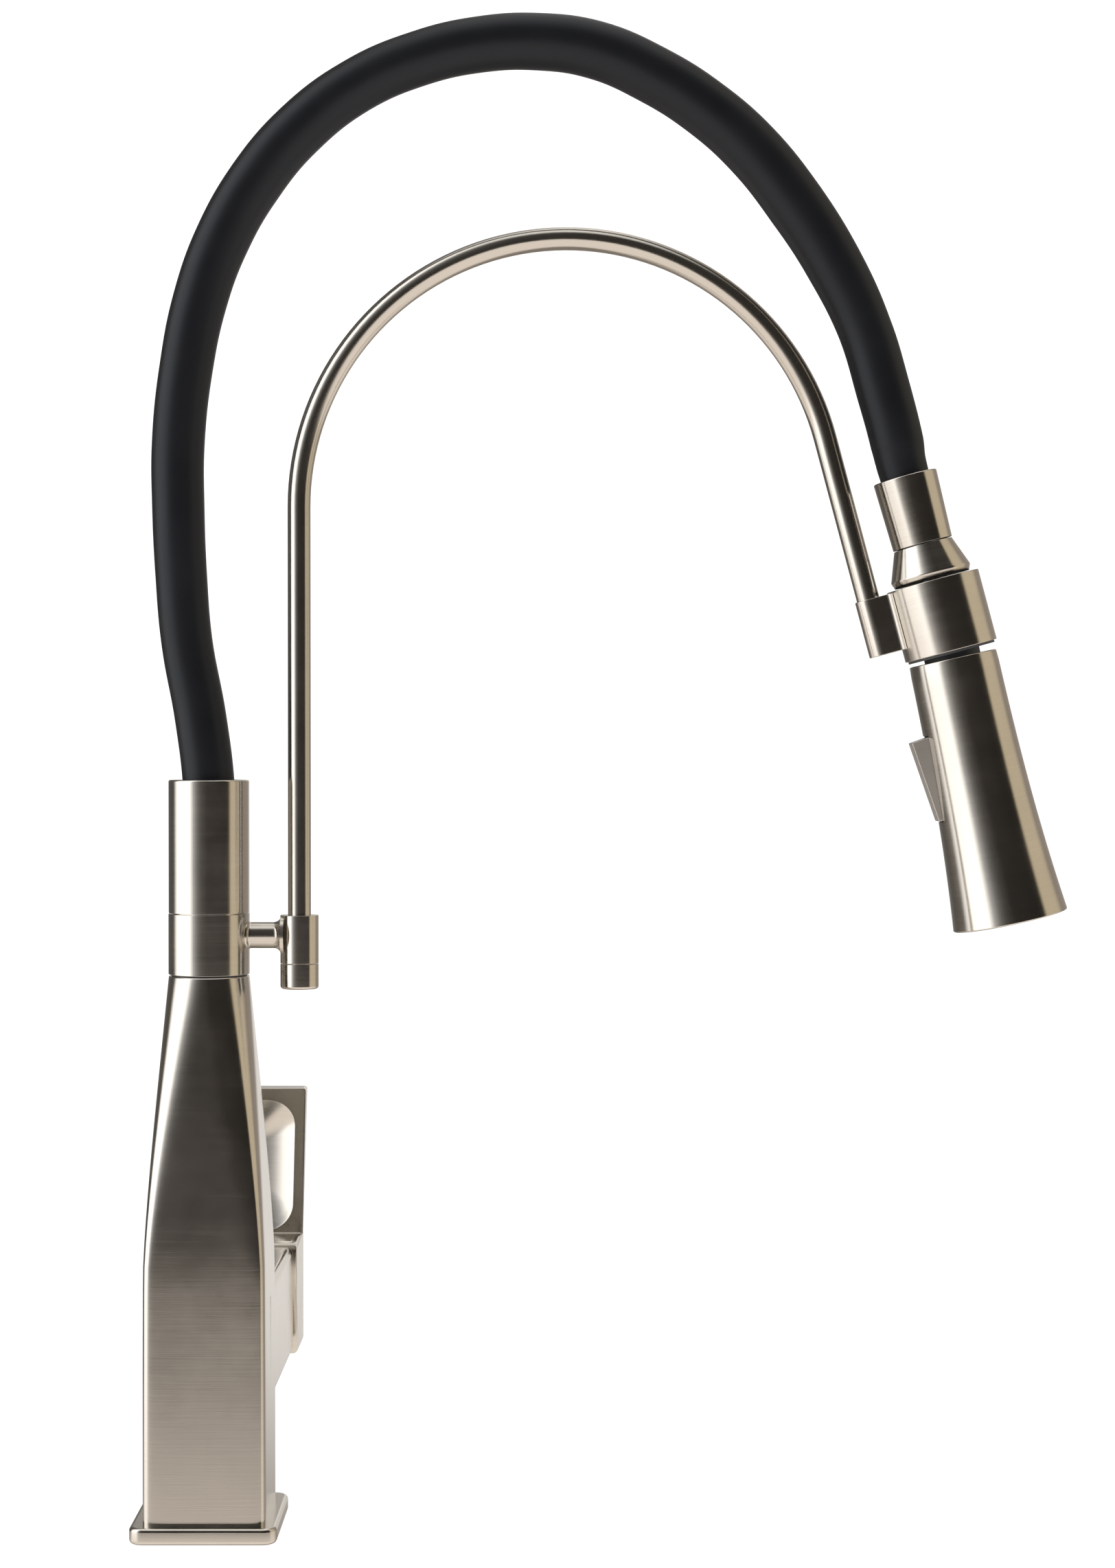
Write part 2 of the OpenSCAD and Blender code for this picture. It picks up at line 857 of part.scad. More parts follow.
module dock_holder() {
    color(nickel)
        at_dock()
            difference() {
                union() {
                    translate([0, 0, -dock_h / 2])
                        cylinder(d = dock_d, h = dock_h);
                    translate([0, 0, block_top - block_h])
                        linear_extrude(block_h)
                            dock_outline();
                }
                translate([0, 0, -dock_h])
                    cylinder(d = dock_bore + 2 * liner_t, h = 2 * dock_h);
                translate([-dock_off, 0, block_top - block_h + 2])
                    cylinder(d = tenon_d + 2 * seat_gap, h = block_h);
                translate([-dock_off, 0, block_top - block_h / 2])
                    rotate([-90, 0, 0])
                        cylinder(d = 3, h = block_t);
            }
}

module dock_liner() {
    color(dark_plastic)
        at_dock()
            translate([0, 0, -dock_h / 2 + 0.3])
                tube(dock_bore + 2 * liner_t - 2 * seat_gap, dock_bore, dock_h - 0.8);
}

module dock_set_screw() {
    color("black")
        at_dock()
            translate([-dock_off, tenon_d / 2 + seat_gap, block_top - block_h / 2])
                rotate([-90, 0, 0])
                    cylinder(d = 3 - 2 * seat_gap, h = block_t / 2 - tenon_d / 2 - 0.5);
}

// ---------- hose end and swivel ----------

module hose_sleeve() {
    color(nickel)
        at_dock()
            translate([0, 0, sleeve_z + 0.4])
                difference() {
                    cylinder(d1 = sleeve_end_d, d2 = sleeve_top_d, h = sleeve_l - 0.4);
                    translate([0, 0, 2])
                        cylinder(d = hose_d, h = sleeve_l);
                    translate([0, 0, -eps])
                        cylinder(d = stem_d + 2 * run_gap, h = sleeve_l);
                }
}

module head_nipple() {
    color("gold")
        at_dock()
            translate([0, 0, sleeve_z + 2.4]) {
                tube(hose_d - 2 * seat_gap, stem_d - 4, 3);
                translate([0, 0, 3])
                    tube(hose_d - 2 * seat_gap, nipple_d - 4, sleeve_l - 6);
            }
}

module head_cone() {
    nose = 2.4;
    color(nickel)
        at_dock()
            translate([0, 0, cone_z])
                difference() {
                    rotate_extrude()
                        polygon([
                            [0, 0], [cone_d / 2 - 1.4, 0], [cone_d / 2 - 0.5, nose * 0.35],
                            [cone_d / 2, nose], [sleeve_end_d / 2 - 0.2, cone_l - 0.1],
                            [sleeve_end_d / 2 - 0.6, cone_l], [0, cone_l]
                        ]);
                    translate([0, 0, -eps])
                        cylinder(d = stem_d + 2 * run_gap, h = cone_l + 2 * eps);
                    translate([0, 0, cone_l - 3])
                        cylinder(d = stem_d + 3 + 2 * free_gap, h = 4);
                }
}

module ball_stem() {
    color("silver")
        at_dock()
            difference() {
                union() {
                    translate([0, 0, ball_z])
                        cylinder(d = stem_d, h = sleeve_z - ball_z + 1.5);
                    translate([0, 0, cone_z + cone_l - 2.6])
                        cylinder(d = stem_d + 3, h = 2.4);
                    translate([0, 0, ball_z])
                        sphere(d = ball_d);
                }
                translate([0, 0, ball_z - ball_d])
                    cylinder(d = stem_d - 4, h = 90);
            }
}

// ---------- spray head ----------

module ball_seat() {
    color("white")
        at_head()
            difference() {
                translate([0, 0, seat_z])
                    cylinder(d = ball_d + 2 - 2 * seat_gap, h = neck_rise - ball_gap - seat_z);
                cylinder(d = stem_d + 2.4, h = 40);
                sphere(d = ball_d + 2 * run_gap);
            }
}

module head_core() {
    color(dark_plastic)
        difference() {
            union() {
                head_down(neck_floor)
                    cylinder(d = neck_d_core, h = neck_rise + neck_floor);
                head_down(core_end)
                    cylinder(d = core_d, h = core_end - neck_floor);
                head_down(face_s - 0.2)
                    cylinder(d = core_d + 4, h = face_s - core_end);
            }
            at_head()
                sphere(d = ball_d + 2 * run_gap);
            at_head()
                translate([0, 0, seat_z])
                    cylinder(d = ball_d + 2, h = 40);
            head_down(face_s)
                cylinder(d = piston_d + 2 * run_gap, h = face_s);
            head_down(check_s)
                cylinder(d = check_d, h = check_l);
            paddle_pocket(core_d / 2 - 3.6, 0.6);
            head_down(pin_s + 5)
                translate([-core_d / 2, 0, 5])
                    cube([core_d, 5, 10], center = true);
        }
}

// Space for the paddle: a box from radius r outwards with a gap all round
module paddle_pocket(r, gap) {
    head_down(paddle_s + paddle_l + gap)
        translate([-r - 20, -paddle_w / 2 - gap, 0])
            cube([20, paddle_w + 2 * gap, paddle_l + 2 * gap]);
}

module toggle_pin() {
    color("silver")
        head_down(pin_s)
            translate([-pin_r, 0, 0])
                rotate([90, 0, 0])
                    cylinder(d = toggle_pin_d, h = paddle_w + 4, center = true);
}

module head_shell() {
    steps = 12;
    outside = [for (i = [0 : steps]) [head_r(i / steps), -head_l * i / steps]];
    inside = [
        [outlet_r, -head_l], [outlet_r, -face_s + 2], [core_d / 2 + 2.6, -core_end],
        [core_d / 2 + 0.5, -core_end + 2],
        [core_d / 2 + 0.5, -2], [neck_d_core / 2 + 0.3, -2], [neck_d_core / 2 + 0.3, 0]
    ];
    color(nickel)
        difference() {
            head_down(0)
                rotate_extrude()
                    polygon(concat(outside, inside));
            paddle_pocket(core_d / 2 - 1, 0.4);
            head_down(pin_s)
                translate([-pin_r, 0, 0])
                    rotate([90, 0, 0])
                        cylinder(d = toggle_pin_d + 2 * seat_gap, h = paddle_w + 5, center = true);
        }
}

module check_valve() {
    color("white")
        head_down(check_s - seat_gap)
            tube(check_d - 2 * seat_gap, check_d - 6, check_l - 1);
}

module spray_face() {
    color(dark_plastic)
        head_down(head_l - 3)
            difference() {
                cylinder(r = outlet_r - seat_gap, h = face_t);
                for (i = [0 : nozzle_count - 1])
                    rotate([0, 0, 360 * i / nozzle_count])
                        translate([nozzle_r, 0, -eps])
                            cylinder(d = nozzle_d, h = 2 * face_t, $fn = 24);
                translate([0, 0, -eps])
                    cylinder(d = aerator_d, h = 2 * face_t);
            }
}

module spray_nozzles() {
    color("gray")
        head_down(head_l - 3)
            for (i = [0 : nozzle_count - 1])
                rotate([0, 0, 360 * i / nozzle_count])
                    translate([nozzle_r, 0, -1.2])
                        cylinder(d1 = 1.6, d2 = nozzle_d - 2 * seat_gap, h = 4.6, $fn = 24);
}

module aerator() {
    color("white")
        head_down(head_l - 3.2)
            tube(aerator_d - 2 * seat_gap, 3, face_t);
}

module face_ring() {
    color(dark_plastic)
        head_down(head_l - 0.4)
            difference() {
                cylinder(r = outlet_r - seat_gap, h = 2.4);
                translate([0, 0, -eps])
                    cylinder(d = 33, h = 5);
            }
}

// The paddle's side outline, as [distance from the head's axis, depth below its top]
module toggle_paddle() {
    top_r = head_r(paddle_s / head_l);
    end_s = paddle_s + paddle_l;
    end_r = head_r(end_s / head_l);
    inner_r = core_d / 2 + 0.3;
    color("gray")
        head_down(0)
            difference() {
                union() {
                    rotate([90, 0, 0])
                        linear_extrude(paddle_w, center = true)
                            polygon([
                                [-inner_r, -paddle_s], [-top_r - paddle_rise, -paddle_s - 1],
                                [-end_r - 0.5, -end_s], [-inner_r, -end_s]
                            ]);
                    translate([-inner_r - 0.5, -2, -pin_s - 1.2])
                        cube([inner_r + 0.5 - crank_r, 4, 2.4]);
                }
                translate([-pin_r, 0, -pin_s])
                    rotate([90, 0, 0])
                        cylinder(d = toggle_pin_d + 2 * run_gap, h = paddle_w + 2, center = true);
            }
}

module diverter_piston() {
    color("white")
        head_down(pin_s + piston_reach)
            difference() {
                cylinder(d = piston_d, h = piston_l);
                translate([0, 0, piston_reach - 2])
                    tube(piston_d + 2, piston_neck_d, 4);
                translate([0, 0, piston_groove_z])
                    tube(piston_d + 2, piston_groove_d, piston_groove_h);
            }
}

module piston_o_ring() {
    color("black")
        head_down(pin_s + piston_reach)
            translate([0, 0, piston_groove_z + seat_gap])
                tube(piston_d, piston_groove_d + 2 * seat_gap, piston_groove_h - 2 * seat_gap);
}

base_plate();
base_gasket();
body_shell();
cartridge_body();
cartridge_seals();
fixed_disc();
moving_disc();
disc_carrier();
stem_yoke();
stem_pin();
cartridge_stem();
cartridge_nut();
handle();
handle_set_screw();
screw_plug();
spigot();
spigot_o_rings();
slip_washers();
spigot_cap_nut();
arm_ring();
rod_washer();
rod_nut();
rod_set_screw();
hose_collar();
hose_nipple();
hose_ferrule();
hose();
rod();
dock_holder();
dock_liner();
dock_set_screw();
hose_sleeve();
head_nipple();
head_cone();
ball_stem();
ball_seat();
head_core();
head_shell();
check_valve();
spray_face();
spray_nozzles();
aerator();
face_ring();
toggle_pin();
toggle_paddle();
diverter_piston();
piston_o_ring();
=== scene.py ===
import json
import math

import bmesh
import bpy
from mathutils import Matrix, Vector
from mathutils.geometry import interpolate_bezier


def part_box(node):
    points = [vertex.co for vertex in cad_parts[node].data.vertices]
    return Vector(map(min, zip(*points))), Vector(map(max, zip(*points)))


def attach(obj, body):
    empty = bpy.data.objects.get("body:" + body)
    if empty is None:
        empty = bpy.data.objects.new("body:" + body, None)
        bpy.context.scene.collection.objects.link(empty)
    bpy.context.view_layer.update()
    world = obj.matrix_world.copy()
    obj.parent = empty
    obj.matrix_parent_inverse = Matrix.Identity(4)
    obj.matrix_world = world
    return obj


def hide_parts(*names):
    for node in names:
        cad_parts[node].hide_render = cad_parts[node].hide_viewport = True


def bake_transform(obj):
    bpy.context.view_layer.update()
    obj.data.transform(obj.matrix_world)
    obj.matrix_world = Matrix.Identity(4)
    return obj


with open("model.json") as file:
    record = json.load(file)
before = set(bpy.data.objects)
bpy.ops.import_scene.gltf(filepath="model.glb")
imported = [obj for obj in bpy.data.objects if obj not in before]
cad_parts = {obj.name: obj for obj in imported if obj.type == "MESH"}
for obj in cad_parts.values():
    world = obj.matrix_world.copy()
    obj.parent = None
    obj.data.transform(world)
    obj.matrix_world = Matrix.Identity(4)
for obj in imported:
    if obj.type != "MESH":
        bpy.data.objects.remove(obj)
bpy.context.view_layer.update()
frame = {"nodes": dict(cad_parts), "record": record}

mm = 0.001
nodes = frame["nodes"]
bpy.context.scene.view_settings.view_transform = "Standard"

# camera

camera = dict(place=(0.1272, -1.070, 0.2869), lens=67.3, pitch=89.2, yaw=0.0)
bpy.ops.object.select_all(action="DESELECT")
bpy.ops.object.camera_add(
    location=camera["place"], rotation=(math.radians(camera["pitch"]), 0, math.radians(camera["yaw"])))
cameraObject = bpy.context.object
cameraObject.data.lens = camera["lens"]
cameraObject.data.sensor_width = 36
bpy.context.scene.camera = cameraObject
print("stage: camera")

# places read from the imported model

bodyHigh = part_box("body_shell")[1]
plateLow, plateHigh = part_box("base_plate")
handleLow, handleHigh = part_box("handle")

# the free leg of the rod and the dock lean by this much, and the spray head hangs a little steeper
dock = dict(lean=15.0, headSteeper=2.5, postX=33 * mm, archRadius=97.5 * mm, archZ=373 * mm, along=75 * mm,
            offset=24.4 * mm, ballBelow=12 * mm, headBelow=2.7 * mm)
leanAngle = math.radians(dock["lean"])
headLean = math.radians(dock["lean"] - dock["headSteeper"])
archCentre = Vector((dock["postX"] + dock["archRadius"], 0, dock["archZ"]))
alongX = Vector((math.cos(leanAngle), 0, math.sin(leanAngle)))
dockUp = Vector((-math.sin(leanAngle), 0, math.cos(leanAngle)))
dockCentre = archCentre + alongX * (dock["archRadius"] + dock["offset"]) - dockUp * dock["along"]
ballCentre = dockCentre - dockUp * dock["ballBelow"]
headUp = Vector((-math.sin(headLean), 0, math.cos(headLean)))
headTop = ballCentre - headUp * dock["headBelow"]
dockPlace = Matrix.Translation(dockCentre) @ Matrix.Rotation(-leanAngle, 4, "Y")
headPlace = Matrix.Translation(headTop) @ Matrix.Rotation(-headLean, 4, "Y")

# hose

hose = dict(diameter=19.6 * mm, length=0.588, exit=(0, 0, 0.2735), sleeveTop=53.6 * mm, endLifts=(6, 0.3),
            steps=8, smooth=60)
hoseRoute = [
    (0, 251.5), (0, 270), (-3, 296), (-8, 324), (-10, 348), (-11, 372), (-11, 396), (-8, 424),
    (-3, 448), (5, 470), (17, 491), (33, 510), (54, 526), (77, 536), (99, 541), (120, 542), (141, 539),
    (162, 530), (181, 518), (198, 503), (214, 483), (228, 461), (239, 438), (246, 415), (251, 396)]
# how full the hose is along its length, as shares of its diameter:
# pinched at its ends and fuller on the shoulders
hoseFullness = [
    (0.0, 0.97), (0.06, 0.965), (0.12, 0.955), (0.25, 0.985), (0.42, 1.045), (0.52, 1.0), (0.70, 1.07),
    (0.82, 1.11), (0.93, 1.0), (0.965, 1.04), (1.0, 0.92)]


def valueAlong(stations, share):
    for (at, low), (then, high) in zip(stations, stations[1:]):
        if share <= then:
            t = (share - at) / (then - at)
            t = t * t * (3 - 2 * t)
            return low + (high - low) * t
    return stations[-1][1]


def makeHose():
    points = [Vector((x * mm, 0, z * mm)) for x, z in hoseRoute]
    points += [dockCentre + dockUp * (hose["sleeveTop"] + lift * mm) for lift in hose["endLifts"]]
    curve = bpy.data.curves.new("hoseRubber", "CURVE")
    curve.dimensions = "3D"
    spline = curve.splines.new("BEZIER")
    spline.bezier_points.add(len(points) - 1)
    for bezier, point in zip(spline.bezier_points, points):
        bezier.co = point
        bezier.handle_left_type = bezier.handle_right_type = "AUTO"
    piece = bpy.data.objects.new("hoseRubber", curve)
    bpy.context.scene.collection.objects.link(piece)
    bpy.context.view_layer.update()
    line = []
    for one, two in zip(spline.bezier_points, list(spline.bezier_points)[1:]):
        line += interpolate_bezier(one.co, one.handle_right, two.handle_left, two.co, hose["steps"] + 1)[:-1]
    line.append(points[-1])
    gone = [0.0]
    for one, two in zip(line, line[1:]):
        gone.append(gone[-1] + (two - one).length)
    for index, bezier in enumerate(spline.bezier_points):
        share = gone[min(index * hose["steps"], len(gone) - 1)] / gone[-1]
        bezier.radius = valueAlong(hoseFullness, share)
    curve.resolution_u = hose["steps"]
    curve.bevel_depth = hose["diameter"] / 2
    curve.bevel_resolution = 10
    curve.use_fill_caps = True
    onlySelect(piece)
    bpy.ops.object.convert(target="MESH")
    piece = bpy.context.object
    bpy.ops.object.shade_smooth_by_angle(angle=math.radians(hose["smooth"]))
    return piece, [tuple(p) for p in line]


# modelling helpers

def onlySelect(*pieces):
    if bpy.context.mode != "OBJECT":
        bpy.ops.object.mode_set(mode="OBJECT")
    bpy.ops.object.select_all(action="DESELECT")
    for piece in pieces:
        piece.select_set(True)
    bpy.context.view_layer.objects.active = pieces[0]


def startPiece(name):
    piece = bpy.context.object
    piece.name = piece.data.name = name
    bpy.ops.object.transform_apply(location=True, rotation=True, scale=True)
    return piece


# selects the faces, edges or points for which the test holds, in edit mode
def pick(kind, test):
    bpy.ops.mesh.select_mode(type=kind)
    bpy.ops.mesh.select_all(action="DESELECT")
    mesh = bmesh.from_edit_mesh(bpy.context.object.data)
    groups = {"FACE": mesh.faces, "EDGE": mesh.edges, "VERT": mesh.verts}
    chosen = 0
    for part in groups[kind]:
        if test(part):
            part.select_set(True)
            chosen += 1
    mesh.select_flush_mode()
    bmesh.update_edit_mesh(bpy.context.object.data)
    return chosen


def applyModifier(piece, kind, **settings):
    onlySelect(piece)
    bpy.ops.object.modifier_add(type=kind)
    modifier = piece.modifiers[-1]
    for key, value in settings.items():
        setattr(modifier, key, value)
    bpy.ops.object.modifier_apply(modifier=modifier.name)


def softEdges(piece, width, angle=40, segments=3):
    applyModifier(piece, "BEVEL", width=width, segments=segments, limit_method="ANGLE",
                  angle_limit=math.radians(angle), harden_normals=False)


def joinWith(piece, other, operation="UNION"):
    applyModifier(piece, "BOOLEAN", object=other, operation=operation, solver="EXACT")
    bpy.data.objects.remove(other)


def tidyNormals(piece):
    onlySelect(piece)
    bpy.ops.object.mode_set(mode="EDIT")
    bpy.ops.mesh.select_all(action="SELECT")
    bpy.ops.mesh.remove_doubles(threshold=1e-6)
    bpy.ops.mesh.normals_make_consistent(inside=False)
    bpy.ops.object.mode_set(mode="OBJECT")


def smoothed(piece, angle=32):
    onlySelect(piece)
    bpy.ops.object.shade_smooth_by_angle(angle=math.radians(angle))
    applyModifier(piece, "WEIGHTED_NORMAL", keep_sharp=True, weight=50)


# a section's corners (radius, height, rounding) with each rounding turned into an arc
def softened(corners, closed, steps=5):
    section = []
    for index, (radius, height, rounding) in enumerate(corners):
        here = Vector((radius, height))
        if rounding == 0:
            section.append(here)
            continue
        before = (Vector(corners[index - 1][:2]) - here).normalized()
        after = (Vector(corners[(index + 1) % len(corners)][:2]) - here).normalized()
        half = before.angle(after) / 2
        reach = rounding / math.tan(half)
        middle = here + (before + after).normalized() * rounding / math.sin(half)
        first = here + before * reach - middle
        last = here + after * reach - middle
        for step in range(steps + 1):
            section.append(middle + first.slerp(last, step / steps).normalized() * rounding)
    return section


# a turned piece: a ring drawn out and resized from station to station, closed on itself or capped
def turned(name, corners, closed=True, sides=96, steps=5):
    section = softened(corners, closed, steps)
    if closed:
        section.append(section[0])
    bpy.ops.object.select_all(action="DESELECT")
    bpy.ops.mesh.primitive_circle_add(
        vertices=sides, radius=section[0].x, fill_type="NOTHING", location=(0, 0, section[0].y))
    piece = startPiece(name)
    bpy.ops.object.mode_set(mode="EDIT")
    bpy.ops.mesh.select_mode(type="EDGE")
    bpy.ops.mesh.select_all(action="SELECT")
    if not closed:
        bpy.ops.mesh.edge_face_add()
    for here, there in zip(section, section[1:]):
        bpy.ops.mesh.extrude_region_move(TRANSFORM_OT_translate={"value": (0, 0, there.y - here.y)})
        share = there.x / here.x
        bpy.ops.transform.resize(value=(share, share, 1), center_override=(0, 0, there.y))
    bpy.ops.object.mode_set(mode="OBJECT")
    tidyNormals(piece)
    return piece


# a flat outline with rounded corners, lying at the given height
def roundedPlate(width, depth, radius, place, segments=8):
    bpy.ops.object.select_all(action="DESELECT")
    bpy.ops.mesh.primitive_plane_add(size=1, location=place)
    bpy.context.object.scale = (width, depth, 1)
    piece = startPiece("plate")
    bpy.ops.object.mode_set(mode="EDIT")
    bpy.ops.mesh.select_all(action="SELECT")
    bpy.ops.mesh.bevel(offset=radius, affect="VERTICES", segments=segments, clamp_overlap=False)
    bpy.ops.object.mode_set(mode="OBJECT")
    return piece


def placed(piece, place):
    onlySelect(piece)
    piece.matrix_world = place
    bpy.ops.object.transform_apply(location=True, rotation=True, scale=True)
    return piece


def holeMaker(radius, depth, place, sides=64):
    bpy.ops.object.select_all(action="DESELECT")
    bpy.ops.mesh.primitive_cylinder_add(vertices=sides, radius=radius, depth=depth)
    piece = startPiece("hole")
    return placed(piece, place)


hosePiece, hosePath = makeHose()
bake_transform(hosePiece)
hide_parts("hose")
print("stage: hose")

# shared finish groups

def link(tree, one, two):
    tree.links.new(one, two)


def newNode(tree, kind, place=(0, 0), **settings):
    node = tree.nodes.new(kind)
    node.location = place
    for key, value in settings.items():
        setattr(node, key, value)
    return node


def rampNode(tree, stops, place=(0, 0)):
    ramp = newNode(tree, "ShaderNodeValToRGB", place)
    elements = ramp.color_ramp.elements
    while len(elements) > 1:
        elements.remove(elements[-1])
    elements[0].position = stops[0][0]
    elements[0].color = (*stops[0][1], 1)
    for at, colour in stops[1:]:
        elements.new(at).color = (*colour, 1)
    return ramp


# drawn-out grain with a soft cloudiness
def buildGrainGroup():
    group = bpy.data.node_groups.new("brushedGrain", "ShaderNodeTree")
    face = group.interface
    face.new_socket("Vector", in_out="INPUT", socket_type="NodeSocketVector")
    for name, value in (("Roughness", 0.3), ("Spread", 0.06), ("Depth", 0.1), ("Tint", 0.06)):
        face.new_socket(name, in_out="INPUT", socket_type="NodeSocketFloat").default_value = value
    colour = face.new_socket("Colour", in_out="INPUT", socket_type="NodeSocketColor")
    colour.default_value = (0.6, 0.6, 0.6, 1)
    face.new_socket("Cloud Vector", in_out="INPUT", socket_type="NodeSocketVector")
    face.new_socket("Colour", in_out="OUTPUT", socket_type="NodeSocketColor")
    face.new_socket("Roughness", in_out="OUTPUT", socket_type="NodeSocketFloat")
    face.new_socket("Normal", in_out="OUTPUT", socket_type="NodeSocketVector")
    start = newNode(group, "NodeGroupInput", (-900, 0))
    end = newNode(group, "NodeGroupOutput", (700, 0))
    grain = newNode(group, "ShaderNodeTexNoise", (-650, 150))
    grain.inputs["Scale"].default_value = 1.0
    grain.inputs["Detail"].default_value = 5.0
    grain.inputs["Roughness"].default_value = 0.65
    link(group, start.outputs["Vector"], grain.inputs["Vector"])
    cloud = newNode(group, "ShaderNodeTexNoise", (-650, -150))
    cloud.inputs["Scale"].default_value = 70.0
    cloud.inputs["Detail"].default_value = 3.0
    link(group, start.outputs["Cloud Vector"], cloud.inputs["Vector"])
    both = newNode(group, "ShaderNodeMath", (-400, 50), operation="ADD")
    link(group, grain.outputs["Fac"], both.inputs[0])
    link(group, cloud.outputs["Fac"], both.inputs[1])
    centred = newNode(group, "ShaderNodeMath", (-250, 50), operation="SUBTRACT")
    link(group, both.outputs[0], centred.inputs[0])
    centred.inputs[1].default_value = 1.0
    rough = newNode(group, "ShaderNodeMath", (-50, 200), operation="MULTIPLY_ADD")
    link(group, centred.outputs[0], rough.inputs[0])
    link(group, start.outputs["Spread"], rough.inputs[1])
    link(group, start.outputs["Roughness"], rough.inputs[2])
    link(group, rough.outputs[0], end.inputs["Roughness"])
    shade = newNode(group, "ShaderNodeMath", (-50, 0), operation="MULTIPLY_ADD")
    link(group, centred.outputs[0], shade.inputs[0])
    link(group, start.outputs["Tint"], shade.inputs[1])
    shade.inputs[2].default_value = 1.0
    tinted = newNode(group, "ShaderNodeVectorMath", (200, 0), operation="SCALE")
    link(group, start.outputs["Colour"], tinted.inputs[0])
    link(group, shade.outputs[0], tinted.inputs["Scale"])
    link(group, tinted.outputs[0], end.inputs["Colour"])
    bump = newNode(group, "ShaderNodeBump", (200, -200))
    bump.inputs["Distance"].default_value = 0.00002
    link(group, start.outputs["Depth"], bump.inputs["Strength"])
    link(group, grain.outputs["Fac"], bump.inputs["Height"])
    link(group, bump.outputs[0], end.inputs["Normal"])
    return group


# fine moulded skin: small grain, broad variation in shade, and a dusty lift
def buildSkinGroup():
    group = bpy.data.node_groups.new("mouldedSkin", "ShaderNodeTree")
    face = group.interface
    face.new_socket("Vector", in_out="INPUT", socket_type="NodeSocketVector")
    for name, value in (("Scale", 900.0), ("Depth", 0.2), ("Spread", 0.1), ("Roughness", 0.5)):
        face.new_socket(name, in_out="INPUT", socket_type="NodeSocketFloat").default_value = value
    face.new_socket("Colour", in_out="INPUT", socket_type="NodeSocketColor")
    face.new_socket("Worn", in_out="INPUT", socket_type="NodeSocketColor")
    face.new_socket("Colour", in_out="OUTPUT", socket_type="NodeSocketColor")
    face.new_socket("Roughness", in_out="OUTPUT", socket_type="NodeSocketFloat")
    face.new_socket("Normal", in_out="OUTPUT", socket_type="NodeSocketVector")
    start = newNode(group, "NodeGroupInput", (-900, 0))
    end = newNode(group, "NodeGroupOutput", (700, 0))
    fine = newNode(group, "ShaderNodeTexNoise", (-600, 150))
    fine.inputs["Detail"].default_value = 4.0
    link(group, start.outputs["Vector"], fine.inputs["Vector"])
    link(group, start.outputs["Scale"], fine.inputs["Scale"])
    broad = newNode(group, "ShaderNodeTexNoise", (-600, -150))
    broad.inputs["Scale"].default_value = 45.0
    broad.inputs["Detail"].default_value = 4.0
    link(group, start.outputs["Vector"], broad.inputs["Vector"])
    mix = newNode(group, "ShaderNodeMix", (0, 100), data_type="RGBA")
    link(group, broad.outputs["Fac"], mix.inputs["Factor"])
    link(group, start.outputs["Colour"], mix.inputs["A"])
    link(group, start.outputs["Worn"], mix.inputs["B"])
    link(group, mix.outputs["Result"], end.inputs["Colour"])
    centred = newNode(group, "ShaderNodeMath", (-250, -50), operation="SUBTRACT")
    link(group, broad.outputs["Fac"], centred.inputs[0])
    centred.inputs[1].default_value = 0.5
    rough = newNode(group, "ShaderNodeMath", (0, -100), operation="MULTIPLY_ADD")
    link(group, centred.outputs[0], rough.inputs[0])
    link(group, start.outputs["Spread"], rough.inputs[1])
    link(group, start.outputs["Roughness"], rough.inputs[2])
    link(group, rough.outputs[0], end.inputs["Roughness"])
    bump = newNode(group, "ShaderNodeBump", (200, -200))
    bump.inputs["Distance"].default_value = 0.00005
    link(group, start.outputs["Depth"], bump.inputs["Strength"])
    link(group, fine.outputs["Fac"], bump.inputs["Height"])
    link(group, bump.outputs[0], end.inputs["Normal"])
    return group


grainGroup = buildGrainGroup()
skinGroup = buildSkinGroup()

# materials

def newMaterial(name):
    material = bpy.data.materials.new(name)
    material.use_nodes = True
    tree = material.node_tree
    return material, tree, tree.nodes["Principled BSDF"]


# metal with grain drawn out along two axes and fine along the third, which lies along the piece
def grainMetal(name, colour, roughness, stretch=(30, 30, 2600), turn=(0, 0, 0), depth=0.25,
               spread=0.08, tint=0.15, anisotropic=0.0, coat=0.0):
    material, tree, shader = newMaterial(name)
    place = newNode(tree, "ShaderNodeTexCoord", (-1000, 0))
    mapping = newNode(tree, "ShaderNodeMapping", (-800, 100))
    mapping.inputs["Rotation"].default_value = turn
    mapping.inputs["Scale"].default_value = (1, 1, 1)
    link(tree, place.outputs["Object"], mapping.inputs["Vector"])
    drawn = newNode(tree, "ShaderNodeMapping", (-600, 100))
    drawn.inputs["Scale"].default_value = stretch
    link(tree, mapping.outputs[0], drawn.inputs["Vector"])
    group = newNode(tree, "ShaderNodeGroup", (-350, 0))
    group.node_tree = grainGroup
    group.inputs["Roughness"].default_value = roughness
    group.inputs["Spread"].default_value = spread
    group.inputs["Depth"].default_value = depth
    group.inputs["Tint"].default_value = tint
    group.inputs["Colour"].default_value = (*colour, 1)
    link(tree, drawn.outputs[0], group.inputs["Vector"])
    link(tree, place.outputs["Object"], group.inputs["Cloud Vector"])
    link(tree, group.outputs["Colour"], shader.inputs["Base Color"])
    link(tree, group.outputs["Roughness"], shader.inputs["Roughness"])
    link(tree, group.outputs["Normal"], shader.inputs["Normal"])
    shader.inputs["Metallic"].default_value = 1.0
    shader.inputs["Anisotropic"].default_value = anisotropic
    shader.inputs["Coat Weight"].default_value = coat
    if anisotropic:
        shader.inputs["Anisotropic Rotation"].default_value = 0.25
        tangent = newNode(tree, "ShaderNodeTangent", (-350, -300), direction_type="RADIAL", axis="Z")
        link(tree, tangent.outputs[0], shader.inputs["Tangent"])
    return material


